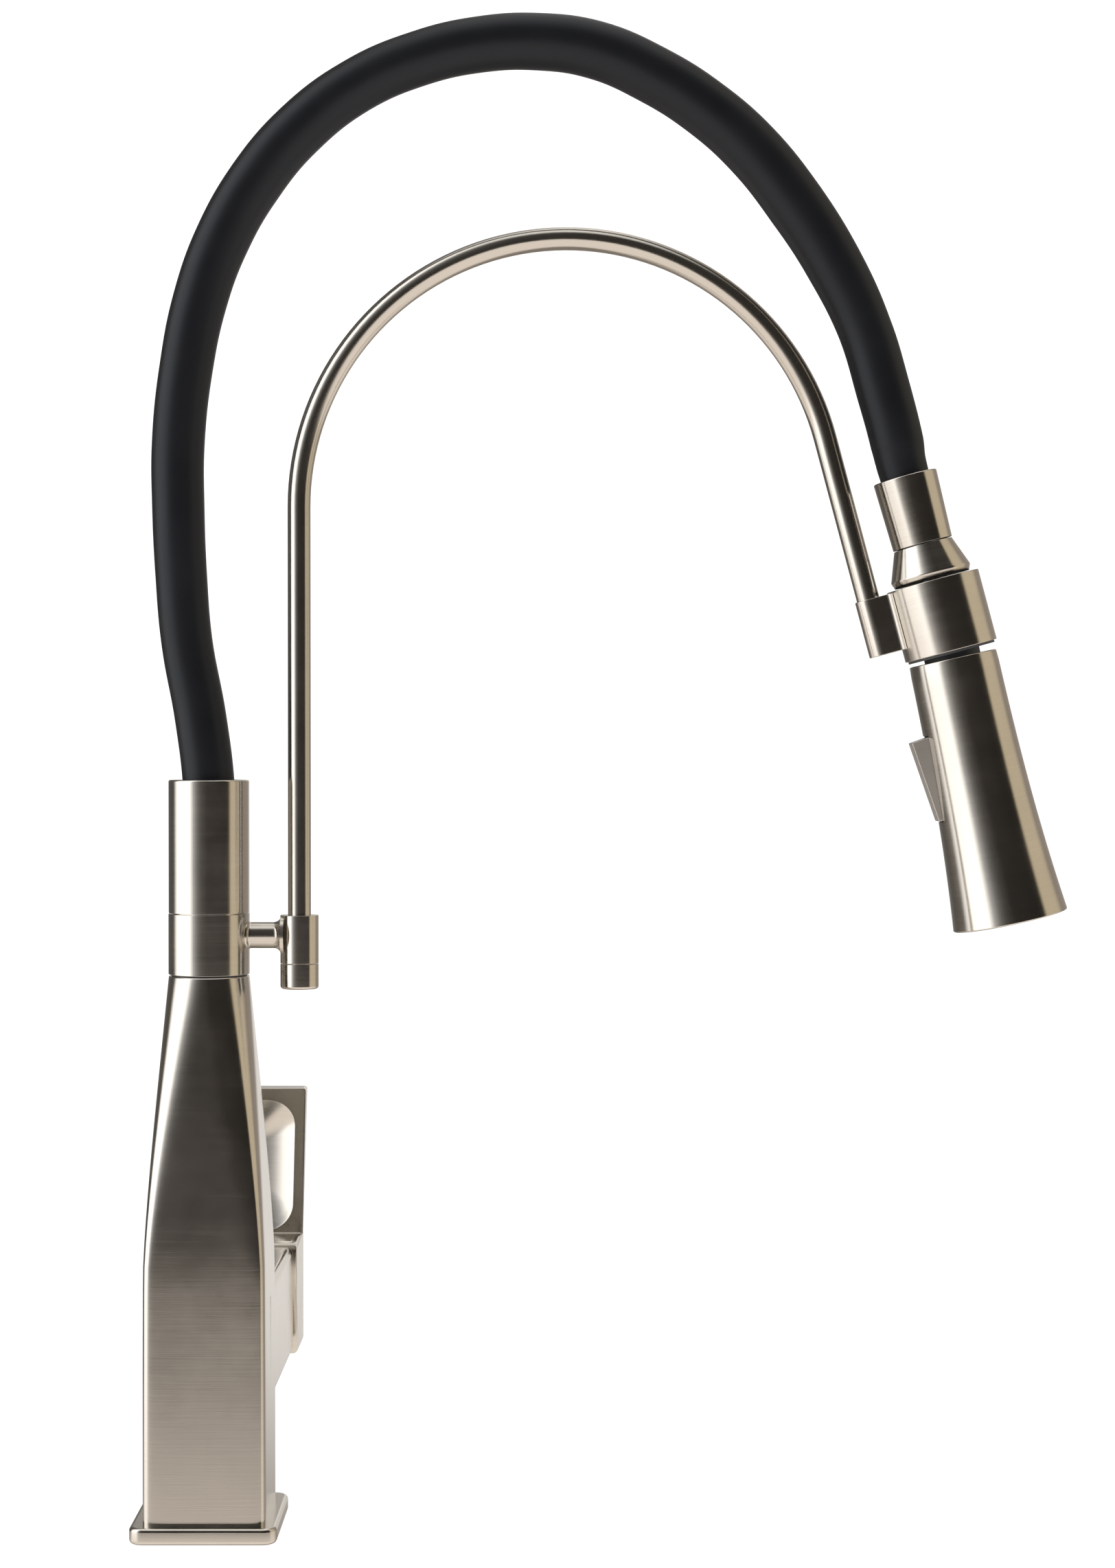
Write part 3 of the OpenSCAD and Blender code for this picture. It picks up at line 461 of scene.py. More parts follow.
def moulded(name, colour, worn, roughness, scale=900.0, depth=0.2, spread=0.12, specular=0.5, coat=0.0):
    material, tree, shader = newMaterial(name)
    place = newNode(tree, "ShaderNodeTexCoord", (-800, 0))
    group = newNode(tree, "ShaderNodeGroup", (-350, 0))
    group.node_tree = skinGroup
    for key, value in (("Scale", scale), ("Depth", depth), ("Spread", spread), ("Roughness", roughness)):
        group.inputs[key].default_value = value
    group.inputs["Colour"].default_value = (*colour, 1)
    group.inputs["Worn"].default_value = (*worn, 1)
    link(tree, place.outputs["Object"], group.inputs["Vector"])
    link(tree, group.outputs["Colour"], shader.inputs["Base Color"])
    link(tree, group.outputs["Roughness"], shader.inputs["Roughness"])
    link(tree, group.outputs["Normal"], shader.inputs["Normal"])
    shader.inputs["Specular IOR Level"].default_value = specular
    shader.inputs["Coat Weight"].default_value = coat
    return material


nickelTone = (0.66, 0.625, 0.57)
nickelUpright = grainMetal("brushedNickelUpright", nickelTone, 0.19, anisotropic=0.4)
nickelRod = grainMetal("brushedNickelRod", nickelTone, 0.2, stretch=(60, 60, 60), depth=0.02, spread=0.03,
                     tint=0.05)
nickelDock = grainMetal("brushedNickelDock", nickelTone, 0.18, turn=(0, leanAngle, 0), anisotropic=0.4)
nickelHead = grainMetal("brushedNickelHead", nickelTone, 0.18, turn=(0, headLean, 0), anisotropic=0.4)
nickelHandle = grainMetal("brushedNickelHandle", nickelTone, 0.2, stretch=(30, 30, 2400), depth=0.12)
hoseRubber = moulded("hoseRubber", (0.0045, 0.0047, 0.0058), (0.008, 0.0083, 0.0095), 0.42, scale=1400,
                     depth=0.18, specular=0.34)
hoseShader = hoseRubber.node_tree.nodes["Principled BSDF"]
hoseShader.inputs["Specular Tint"].default_value = (0.85, 0.91, 1.0, 1)
# the dark rubber also serves as painted shade on the metal end faces at the seam between sleeve and cone
sealRubberAndSeamShade = moulded("sealRubberAndSeamShade", (0.012, 0.012, 0.012), (0.025, 0.025, 0.025), 0.6)
whitePlastic = moulded("whiteAcetal", (0.78, 0.78, 0.75), (0.70, 0.70, 0.67), 0.42)
amberPlastic = moulded("amberPlastic", (0.36, 0.14, 0.05), (0.28, 0.11, 0.04), 0.42)
darkPlastic = moulded("darkPlastic", (0.035, 0.035, 0.037), (0.05, 0.05, 0.052), 0.45)
greyPlastic = moulded("greyPlastic", (0.42, 0.43, 0.44), (0.36, 0.37, 0.38), 0.45)
greySilicone = moulded("greySilicone", (0.17, 0.175, 0.18), (0.13, 0.135, 0.14), 0.6)
ceramicWhite = moulded("groundCeramic", (0.80, 0.79, 0.75), (0.74, 0.73, 0.70), 0.18, coat=0.3)
turnedSteel = grainMetal("turnedSteel", (0.56, 0.56, 0.55), 0.26)
darkSteel = grainMetal("blackenedSteel", (0.10, 0.10, 0.105), 0.38)
turnedBrass = grainMetal("turnedBrass", (0.72, 0.52, 0.25), 0.28)
satinGrey = grainMetal("satinGrey", (0.60, 0.575, 0.54), 0.55, turn=(0, headLean, 0), depth=0.12)


def paint(piece, material):
    piece.data.materials.clear()
    piece.data.materials.append(material)
    for face in piece.data.polygons:
        face.material_index = 0


def finished(piece, material, body, slot, *stands, angle=32):
    smoothed(piece, angle)
    paint(piece, material)
    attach(piece, body)
    if stands:
        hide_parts(*stands)
    return piece


paint(hosePiece, hoseRubber)

nodeFinish = {
    "nickel": nickelUpright, "hose_rubber": hoseRubber, "seal_rubber": sealRubberAndSeamShade,
    "white_plastic": whitePlastic, "amber_plastic": amberPlastic, "dark_plastic": darkPlastic,
    "grey_plastic": greyPlastic,
    "grey_silicone": greySilicone, "ceramic_white": ceramicWhite, "steel": turnedSteel,
    "dark_steel": darkSteel, "brass": turnedBrass, "satin_grey_metal": satinGrey}
for entry in frame["record"]["subparts"]:
    cadNode = nodes[entry["node"]]
    for index in range(max(1, len(cadNode.material_slots))):
        if len(cadNode.material_slots) == 0:
            cadNode.data.materials.append(nodeFinish[entry["material_slot"]])
        else:
            cadNode.material_slots[index].material = nodeFinish[entry["material_slot"]]
print("stage: materials")

# deck plate

deckPlate = dict(corner=5 * mm, edge=1.4 * mm, footRadius=18.05 * mm, footDepth=40 * mm)


def makeDeckPlate():
    width = plateHigh.x - plateLow.x
    piece = roundedPlate(width, width, deckPlate["corner"], (0, 0, 0), segments=12)
    piece.name = piece.data.name = "deckPlate"
    bpy.ops.object.mode_set(mode="EDIT")
    bpy.ops.mesh.select_all(action="SELECT")
    bpy.ops.mesh.extrude_region_move(TRANSFORM_OT_translate={"value": (0, 0, plateHigh.z - plateLow.z)})
    bpy.ops.object.mode_set(mode="OBJECT")
    tidyNormals(piece)
    applyModifier(piece, "BEVEL", width=deckPlate["edge"], segments=5, limit_method="ANGLE",
                  angle_limit=math.radians(60))
    joinWith(piece, holeMaker(deckPlate["footRadius"], deckPlate["footDepth"], Matrix.Identity(4), 96),
             "DIFFERENCE")
    return finished(piece, nickelUpright, "base", "nickel", "base_plate")


makeDeckPlate()
print("stage: deck plate")

# body

body = dict(width=44.5 * mm, corner=3 * mm, straight=96 * mm, neck=29.4 * mm, levels=20, sides=160,
            power=13.0, crown=0.72, bowStart=30 * mm, bowShare=0.14, bowPower=2, taperPower=1.3,
            cornerPower=1.5, rim=0.25 * mm, rimIn=0.2 * mm, housingHeight=42 * mm, housingIn=0.03 * mm,
            housingEdge=0.3 * mm, valveHeight=66 * mm, cartridge=17.6 * mm, cartridgeFloor=49 * mm,
            spigot=(8.2 * mm, 30 * mm), inlet=(4.5 * mm, 32 * mm), inletPitch=18 * mm,
            stud=(2.5 * mm, 24 * mm), studPitch=27 * mm, foot=(18 * mm, 8 * mm))


# a ring of points on a rounded square; the power runs from 2, a circle, up to a nearly square outline
def bodyLevel(height, half, power):
    bpy.ops.mesh.select_all(action="DESELECT")
    bpy.ops.mesh.primitive_circle_add(
        vertices=body["sides"], radius=1, fill_type="NOTHING", location=(0, 0, height))
    mesh = bmesh.from_edit_mesh(bpy.context.object.data)
    for point in mesh.verts:
        if point.select:
            across, along = point.co.x, point.co.y
            point.co.x = math.copysign(abs(across) ** (2 / power), across) * half
            point.co.y = math.copysign(abs(along) ** (2 / power), along) * half
    bmesh.update_edit_mesh(bpy.context.object.data)


def makeBodyShell():
    top = bodyHigh.z
    bpy.ops.object.select_all(action="DESELECT")
    bpy.ops.mesh.primitive_plane_add(size=0.001)
    piece = startPiece("bodyShell")
    bpy.ops.object.mode_set(mode="EDIT")
    bpy.ops.mesh.select_all(action="SELECT")
    bpy.ops.mesh.delete(type="VERT")
    half = body["width"] / 2
    start = body["bowStart"]
    bodyLevel(plateHigh.z, half, body["power"])
    # the sides are straight at the foot, bow in very slightly, then taper to the round neck
    for level in range(body["levels"] + 1):
        rise = level / body["levels"]
        share = max(0, (rise * (top - start) + start - body["straight"]) / (top - body["straight"]))
        taper = (1 - body["bowShare"]) * share ** body["taperPower"]
        bow = body["bowShare"] * rise ** body["bowPower"]
        levelHalf = half + (body["neck"] / 2 - half) * (taper + bow)
        radius = body["corner"] + (body["neck"] / 2 - body["corner"]) * share ** body["cornerPower"]
        power = -1 / math.log2(1 - (1 - math.sqrt(0.5)) * min(1, radius / levelHalf))
        height = start + (top - body["rim"] - start) * rise
        bodyLevel(height, levelHalf, 2 + (power - 2) * body["crown"])
    bodyLevel(top, body["neck"] / 2 - body["rimIn"], 2)
    bpy.ops.mesh.select_mode(type="EDGE")
    bpy.ops.mesh.select_all(action="SELECT")
    bpy.ops.mesh.bridge_edge_loops()
    for height in (plateHigh.z, top):
        pick("EDGE", lambda edge: all(abs(v.co.z - height) < 0.01 * mm for v in edge.verts))
        bpy.ops.mesh.edge_face_add()
    bpy.ops.object.mode_set(mode="OBJECT")
    tidyNormals(piece)
    return piece


def makeHousing():
    half = body["housingHeight"] / 2
    piece = roundedPlate(
        body["width"] - body["housingIn"], 2 * half, body["corner"], (0, 0, 0), segments=10)
    bpy.ops.object.mode_set(mode="EDIT")
    bpy.ops.mesh.select_all(action="SELECT")
    bpy.ops.mesh.extrude_region_move(TRANSFORM_OT_translate={"value": (0, 0, bodyHigh.y)})
    bpy.ops.object.mode_set(mode="OBJECT")
    tidyNormals(piece)
    softEdges(piece, body["housingEdge"], 60)
    turn = Matrix.Translation((0, 0, body["valveHeight"])) @ Matrix.Rotation(math.radians(-90), 4, "X")
    return placed(piece, turn)


def makeBody():
    piece = makeBodyShell()
    joinWith(piece, makeHousing())
    depth = bodyHigh.y - body["cartridgeFloor"] + 2 * mm
    place = Matrix.Translation((0, body["cartridgeFloor"] + depth / 2, body["valveHeight"]))
    place = place @ Matrix.Rotation(math.radians(90), 4, "X")
    joinWith(piece, holeMaker(body["cartridge"], depth, place, 96), "DIFFERENCE")
    joinWith(piece, holeMaker(*body["spigot"], Matrix.Translation((0, 0, bodyHigh.z))), "DIFFERENCE")
    joinWith(piece, holeMaker(*body["foot"], Matrix.Translation((0, 0, body["foot"][1] / 2)), 96))
    for x in (-1, 1):
        place = Matrix.Translation((x * body["inletPitch"] / 2, 0, 0))
        joinWith(piece, holeMaker(*body["inlet"], place), "DIFFERENCE")
        place = Matrix.Translation((0, x * body["studPitch"] / 2, 0))
        joinWith(piece, holeMaker(*body["stud"], place), "DIFFERENCE")
    return finished(piece, nickelUpright, "base", "nickel", "body_shell", angle=25)


makeBody()
print("stage: body")

# handle

handle = dict(width=47.4 * mm, corner=3 * mm, tipCorner=1.1 * mm, footCorner=2.4 * mm,
              leverThickness=9 * mm, capTop=22.8 * mm, wall=3 * mm, edge=0.45 * mm, rim=4.2 * mm,
              dishFoot=1.4 * mm, dishTop=5.2 * mm, dishDepth=5.4 * mm, dishCorner=11 * mm,
              dishFlat=1.2 * mm, lip=0.9 * mm, lipSteps=6, rings=18, ahead=1 * mm, pocket=26 * mm,
              mouth=2 * mm, flare=0.076, tilt=15, pivotY=82 * mm, relief=8.7 * mm)


def makeHandle():
    width = handle["width"]
    height = handleHigh.z - handleLow.z
    middle = (handleHigh.z + handleLow.z) / 2
    bpy.ops.object.select_all(action="DESELECT")
    bpy.ops.mesh.primitive_plane_add(size=1)
    bpy.context.object.scale = (width, height, 1)
    piece = startPiece("handleLever")
    bpy.ops.object.mode_set(mode="EDIT")
    for side, key in ((1, "tipCorner"), (-1, "footCorner")):
        pick("VERT", lambda point: abs(point.co.y * side - height / 2) < 0.01 * mm)
        bpy.ops.mesh.bevel(offset=handle[key], affect="VERTICES", segments=6, clamp_overlap=False)
    bpy.ops.mesh.select_mode(type="FACE")
    bpy.ops.mesh.select_all(action="SELECT")
    bpy.ops.mesh.extrude_region_move(TRANSFORM_OT_translate={"value": (0, 0, handle["leverThickness"])})
    bpy.ops.object.mode_set(mode="OBJECT")
    tidyNormals(piece)
    # stand it up, with its outer face on the handle's outer side
    stand = Matrix.Translation((0, handleHigh.y, middle)) @ Matrix.Rotation(math.radians(90), 4, "X")
    placed(piece, stand)
    bpy.ops.object.mode_set(mode="EDIT")
    bpy.ops.mesh.select_all(action="SELECT")
    capTop = body["valveHeight"] + handle["capTop"]
    bpy.ops.mesh.bisect(plane_co=(0, 0, capTop), plane_no=(0, 0, 1))
    front = handleHigh.y - handle["leverThickness"]
    pick("FACE", lambda face: face.normal.y < -0.9 and face.calc_center_median().z < capTop)
    bpy.ops.mesh.extrude_region_move(TRANSFORM_OT_translate={"value": (0, handleLow.y - front, 0)})
    pick("EDGE", lambda edge: edge.calc_length() > 15 * mm and all(
        abs(abs(v.co.x) - width / 2) < 0.01 * mm and abs(v.co.z - capTop) < 0.01 * mm for v in edge.verts))
    bpy.ops.mesh.bevel(offset=handle["corner"], segments=6, affect="EDGES")
    bpy.ops.object.mode_set(mode="OBJECT")
    tidyNormals(piece)
    softEdges(piece, handle["edge"], 50, 4)
    joinWith(piece, reliefBlock(), "DIFFERENCE")
    joinWith(piece, capPocket(), "DIFFERENCE")
    joinWith(piece, dishCutter(front, capTop), "DIFFERENCE")
    for point in piece.data.vertices:
        point.co.x *= 1 + handle["flare"] * max(0, point.co.z - capTop) / (handleHigh.z - capTop)
    return finished(piece, nickelHandle, "lever", "nickel", "handle", angle=28)


# the lower front of the cap slopes back, so that the lever can tilt without meeting the housing
def reliefBlock():
    bpy.ops.object.select_all(action="DESELECT")
    bpy.ops.mesh.primitive_cube_add(size=1, location=(0, handle["relief"] - 10 * mm, 0))
    bpy.context.object.scale = (70 * mm, 20 * mm, 80 * mm)
    piece = startPiece("relief")
    lean = Matrix.Rotation(math.radians(handle["tilt"]), 4, "X")
    return placed(piece, Matrix.Translation((0, handle["pivotY"], body["valveHeight"])) @ lean)


def capPocket():
    wall = handle["wall"]
    capTop = body["valveHeight"] + handle["capTop"]
    tall = capTop - handleLow.z - 2 * wall
    middle = (capTop + handleLow.z) / 2
    deep = handle["pocket"] + handle["mouth"]
    bpy.ops.object.select_all(action="DESELECT")
    bpy.ops.mesh.primitive_cube_add(size=1, location=(0, handleLow.y + deep / 2 - handle["mouth"], middle))
    bpy.context.object.scale = (handle["width"] - 2 * wall, deep, tall)
    return startPiece("capPocket")


# the dish is cut by rings that follow a flat arc below a small rounded lip
def dishCutter(front, capTop):
    wide = handle["width"] / 2 - handle["rim"]
    low = capTop + handle["dishFoot"]
    high = handleHigh.z - handle["dishTop"]
    tall = (high - low) / 2
    lip = handle["lip"]
    stations = [(-lip, -handle["ahead"])]
    for step in range(handle["lipSteps"]):
        turn = step / (handle["lipSteps"] - 1) * math.pi / 2.8
        stations.append((-lip * (1 - math.sin(turn)), lip * 0.6 * (1 - math.cos(turn))))
    depth = handle["dishDepth"] - stations[-1][1]
    base = stations[-1][1]
    arc = (wide * wide + depth * depth) / (2 * depth)
    for ring in range(1, handle["rings"] + 1):
        inward = (wide - handle["dishFlat"]) * ring / handle["rings"]
        stations.append((inward, base + math.sqrt(arc * arc - (wide - inward) ** 2) - (arc - depth)))
    size = (2 * (wide + lip), 2 * (tall + lip))
    piece = roundedPlate(*size, handle["dishCorner"], (0, 0, 0), segments=12)
    bpy.ops.object.mode_set(mode="EDIT")
    bpy.ops.mesh.select_all(action="SELECT")
    for (before, deep), (after, deeper) in zip(stations, stations[1:]):
        bpy.ops.mesh.extrude_region_move(TRANSFORM_OT_translate={"value": (0, 0, deeper - deep)})
        shares = ((wide - after) / (wide - before), (tall - after) / (tall - before), 1)
        bpy.ops.transform.resize(value=shares, center_override=(0, 0, 0))
    bpy.ops.object.mode_set(mode="OBJECT")
    tidyNormals(piece)
    place = Matrix.Translation((0, front - handle["ahead"], (low + high) / 2))
    return placed(piece, place @ Matrix.Rotation(math.radians(-90), 4, "X"))


makeHandle()
print("stage: handle")

# swivel ring with its branch, rod holder and nut

swivel = dict(radius=14.8 * mm, bottom=202.7 * mm, top=224.7 * mm, soft=0.12 * mm, bore=9.1 * mm,
              step=216 * mm, lipRadius=13 * mm, lipBore=11.6 * mm, lipHeight=6 * mm,
              holderRadius=7 * mm, holderBore=4.25 * mm, holderTop=224.1 * mm, holderBottom=206.6 * mm,
              holderX=33 * mm, branchRadius=4.8 * mm, branchZ=216.8 * mm, flare=1.3 * mm,
              holderFlare=2.6 * mm, ringDeep=3 * mm, through=60 * mm)
collar = dict(radius=14.7 * mm, bottom=225.05 * mm, top=273.5 * mm, mouth=10.1 * mm, soft=0.7 * mm,
              foot=13.2 * mm, seam=0.1 * mm, mouthDeep=22 * mm, shoulder=24 * mm)
rodNut = dict(radius=7 * mm, bottom=197.2 * mm, top=206.35 * mm, soft=1.1 * mm, seam=0.1 * mm, core=0.4 * mm)


def makeBranch():
    start = swivel["radius"] - 1.6 * mm
    end = swivel["holderX"] - swivel["holderRadius"] + 1.2 * mm
    flare = swivel["flare"]
    ringWall = swivel["radius"] - 0.6 * mm
    holderWall = end - 0.9 * mm
    turns = [step / 6 * math.pi / 2 for step in range(7)]
    stations = [(start, flare * 1.1)]
    stations += [(ringWall + flare * (1 - math.cos(turn)), flare * (1 - math.sin(turn))) for turn in turns]
    flare = swivel["holderFlare"]
    stations += [(holderWall - flare * (1 - math.cos(turn)), flare * (1 - math.sin(turn)))
                 for turn in reversed(turns)]
    stations.append((end + 0.4 * mm, flare * 1.05))
    bpy.ops.object.select_all(action="DESELECT")
    radius = swivel["branchRadius"] + stations[0][1]
    bpy.ops.mesh.primitive_circle_add(
        vertices=64, radius=radius, fill_type="NGON", location=(0, 0, stations[0][0]))
    piece = startPiece("branch")
    bpy.ops.object.mode_set(mode="EDIT")
    bpy.ops.mesh.select_all(action="SELECT")
    for (here, _), (there, extra) in zip(stations, stations[1:]):
        bpy.ops.mesh.extrude_region_move(TRANSFORM_OT_translate={"value": (0, 0, there - here)})
        share = (swivel["branchRadius"] + extra) / radius
        bpy.ops.transform.resize(value=(share, share, 1), center_override=(0, 0, there))
        radius = swivel["branchRadius"] + extra
    bpy.ops.object.mode_set(mode="OBJECT")
    tidyNormals(piece)
    turn = Matrix.Translation((0, 0, swivel["branchZ"])) @ Matrix.Rotation(math.radians(90), 4, "Y")
    return placed(piece, turn)


def makeSwivel():
    soft = swivel["soft"]
    lipTop = swivel["top"] + swivel["lipHeight"]
    piece = turned("swivelRing", [
        (swivel["bore"], swivel["bottom"], 0), (swivel["radius"], swivel["bottom"], soft),
        (swivel["radius"], swivel["top"], soft), (swivel["lipRadius"], swivel["top"], 0),
        (swivel["lipRadius"], lipTop, soft), (swivel["lipBore"], lipTop, soft),
        (swivel["lipBore"], swivel["step"], 0), (swivel["bore"], swivel["step"], 0)])
    holder = turned("holder", [
        (swivel["holderRadius"], swivel["holderBottom"], soft),
        (swivel["holderRadius"], swivel["holderTop"], soft),
        (swivel["holderBore"], swivel["holderTop"], 0), (swivel["holderBore"], swivel["holderBottom"], 0)],
        sides=64)
    placed(holder, Matrix.Translation((swivel["holderX"], 0, 0)))
    branch = makeBranch()
    for radius, x, sides in ((swivel["radius"] - swivel["ringDeep"], 0, 96),
                             (swivel["holderBore"], swivel["holderX"], 64)):
        place = Matrix.Translation((x, 0, swivel["branchZ"]))
        joinWith(branch, holeMaker(radius, swivel["through"], place, sides), "DIFFERENCE")
    joinWith(piece, branch)
    joinWith(piece, holder)
    finished(piece, nickelUpright, "arm", "nickel", "arm_ring", angle=35)


def makeCollar():
    soft = collar["soft"]
    piece = turned("hoseCollar", [
        (collar["foot"], collar["bottom"], 0), (collar["radius"], collar["bottom"], collar["seam"]),
        (collar["radius"], collar["top"], soft), (collar["mouth"], collar["top"], soft),
        (collar["mouth"], collar["top"] - collar["mouthDeep"], 0),
        (collar["foot"], collar["top"] - collar["shoulder"], 0)])
    finished(piece, nickelUpright, "arm", "nickel", "hose_collar")


def makeRodNut():
    piece = turned("rodNut", [
        (rodNut["core"], rodNut["bottom"], 0), (rodNut["radius"], rodNut["bottom"], rodNut["soft"]),
        (rodNut["radius"], rodNut["top"], rodNut["seam"]), (rodNut["core"], rodNut["top"], 0)],
        closed=False, sides=64)
    placed(piece, Matrix.Translation((swivel["holderX"], 0, 0)))
    finished(piece, nickelUpright, "arm", "nickel", "rod_nut", "rod_washer")


makeSwivel()
makeCollar()
makeRodNut()
print("stage: swivel")

# rod

rod = dict(radius=4.2 * mm, bottom=199.6 * mm, legEnd=12.7 * mm, sides=40, turns=72)


def makeRod():
    bpy.ops.object.select_all(action="DESELECT")
    bpy.ops.mesh.primitive_circle_add(
        vertices=rod["sides"], radius=rod["radius"], fill_type="NGON",
        location=(dock["postX"], 0, rod["bottom"]))
    piece = startPiece("supportRod")
    bpy.ops.object.mode_set(mode="EDIT")
    bpy.ops.mesh.select_all(action="SELECT")
    bpy.ops.mesh.extrude_region_move(TRANSFORM_OT_translate={"value": (0, 0, dock["archZ"] - rod["bottom"])})
    bpy.ops.mesh.spin(steps=rod["turns"], angle=math.pi - leanAngle, center=archCentre, axis=(0, -1, 0))
    lowered = -dockUp * (dock["along"] - rod["legEnd"])
    bpy.ops.mesh.extrude_region_move(TRANSFORM_OT_translate={"value": lowered})
    bpy.ops.object.mode_set(mode="OBJECT")
    tidyNormals(piece)
    finished(piece, nickelRod, "arm", "nickel", "rod", angle=40)


makeRod()
print("stage: rod")

# docking ring and its block

dockRing = dict(radius=17.1 * mm, height=26.4 * mm, lift=1.2 * mm, bore=16.1 * mm, boreLess=1.0 * mm,
                soft=0.25 * mm, blockTop=12.7 * mm, blockHeight=21 * mm, blockHalf=5 * mm, blockEdge=0.5 * mm,
                fillet=2.2 * mm, bite=0.9 * mm, through=60 * mm)


def makeDockBlock():
    half = dockRing["blockHalf"]
    middle = -dock["offset"]
    stations = []
    for step in range(1, 9):
        turn = step / 8 * math.pi / 2
        stations.append((middle - half * math.cos(turn), half * math.sin(turn)))
    fillet = dockRing["fillet"]
    meet = -dockRing["radius"] + dockRing["bite"]
    for step in range(8):
        turn = step / 7 * math.pi / 2.4
        stations.append((meet - fillet * (1 - math.sin(turn)), half + fillet * (1 - math.cos(turn))))
    stations.append((meet + 3 * mm, stations[-1][1]))
    bpy.ops.object.select_all(action="DESELECT")
    bpy.ops.mesh.primitive_plane_add(size=1)
    first = stations[0]
    bpy.context.object.scale = (dockRing["blockHeight"], 2 * first[1], 1)
    piece = startPiece("dockBlock")
    bpy.ops.object.mode_set(mode="EDIT")
    bpy.ops.mesh.select_all(action="SELECT")
    wide = first[1]
    for (here, _), (there, nextWide) in zip(stations, stations[1:]):
        bpy.ops.mesh.extrude_region_move(TRANSFORM_OT_translate={"value": (0, 0, there - here)})
        bpy.ops.transform.resize(value=(1, nextWide / wide, 1), center_override=(0, 0, 0))
        wide = nextWide
    bpy.ops.object.mode_set(mode="OBJECT")
    tidyNormals(piece)
    centreZ = dockRing["blockTop"] - dockRing["blockHeight"] / 2
    turn = Matrix.Translation((first[0], 0, centreZ)) @ Matrix.Rotation(math.radians(90), 4, "Y")
    placed(piece, turn)
    softEdges(piece, dockRing["blockEdge"], 60)
    return piece


def makeDock():
    soft = dockRing["soft"]
    half = dockRing["height"] / 2
    inner = dockRing["bore"] - dockRing["boreLess"]
    piece = turned("dockRing", [
        (inner, -half, 0), (dockRing["radius"], -half, soft), (dockRing["radius"], half, soft),
        (inner, half, 0)], sides=128)
    block = makeDockBlock()
    joinWith(piece, block)
    joinWith(piece, holeMaker(dockRing["bore"], dockRing["through"], Matrix.Identity(4), 128), "DIFFERENCE")
    placed(piece, dockPlace @ Matrix.Translation((0, 0, dockRing["lift"])))
    finished(piece, nickelDock, "arm", "nickel", "dock_holder", angle=30)


makeDock()
print("stage: dock")

# hose sleeve and flared nut

sleeve = dict(bottom=28.4 * mm, top=53.6 * mm, topRadius=11.75 * mm, endRadius=11 * mm, mouth=9.9 * mm,
              soft=0.5 * mm, seam=0.1 * mm, bore=7 * mm, mouthDeep=15 * mm)
cone = dict(bottom=14.8 * mm, top=28 * mm, radius=14.8 * mm, nose=2.4 * mm, noseSoft=1.1 * mm,
            footIn=0.9 * mm, footSoft=0.4 * mm, endRadius=10.8 * mm, seam=0.1 * mm, bore=5.6 * mm)
seamShadeReach = 0.05 * mm


# the faces that meet across a seam are in shadow, so they are painted with the dark rubber finish as painted
# shade
def paintSeamShade(piece, height):
    piece.data.materials.append(sealRubberAndSeamShade)
    for face in piece.data.polygons:
        along = (face.center - dockCentre).dot(dockUp)
        if abs(along - height) < seamShadeReach:
            face.material_index = 1


def makeSleeve():
    soft = sleeve["soft"]
    floorHeight = sleeve["top"] - sleeve["mouthDeep"]
    piece = turned("hoseSleeve", [
        (sleeve["bore"], sleeve["bottom"], 0), (sleeve["endRadius"], sleeve["bottom"], sleeve["seam"]),
        (sleeve["topRadius"], sleeve["top"], soft), (sleeve["mouth"], sleeve["top"], soft),
        (sleeve["mouth"], floorHeight, 0), (sleeve["bore"], floorHeight, 0)])
    placed(piece, dockPlace)
    finished(piece, nickelDock, "wand", "nickel", "hose_sleeve")
    # painted shade on the sleeve's lower end face, at the seam with the cone
    paintSeamShade(piece, sleeve["bottom"])


def makeCone():
    piece = turned("headCone", [
        (cone["bore"], cone["bottom"], 0),
        (cone["radius"] - cone["footIn"], cone["bottom"], cone["footSoft"]),
        (cone["radius"], cone["bottom"] + cone["nose"], cone["noseSoft"]),
        (cone["endRadius"], cone["top"], cone["seam"]), (cone["bore"], cone["top"], 0)])
    placed(piece, dockPlace)
    finished(piece, nickelDock, "wand", "nickel", "head_cone")
    # painted shade on the cone's upper end face, at the seam with the sleeve
    paintSeamShade(piece, cone["top"])


makeSleeve()
makeCone()
print("stage: sleeve and cone")

# spray head

head = dict(length=98 * mm, topRadius=16.2 * mm, endRadius=21.1 * mm, outlet=18.9 * mm, outletDeep=9 * mm,
            waist=16.4 * mm, waistAt=84 * mm, inner=14.3 * mm, innerFrom=82 * mm, roof=2 * mm, neck=10.6 * mm,
            steps=24, soft=0.5 * mm, lip=0.4 * mm, slotX=22 * mm, slotDepth=20 * mm)
paddle = dict(width=11 * mm, start=26 * mm, length=31 * mm, rise=5.2 * mm, gap=0.4 * mm, inner=14.1 * mm,
              proud=0.5 * mm, edge=0.35 * mm)


def headRadius(share):
    return head["topRadius"] + share * mm + (head["endRadius"] - head["topRadius"] - mm) * share ** 2.5


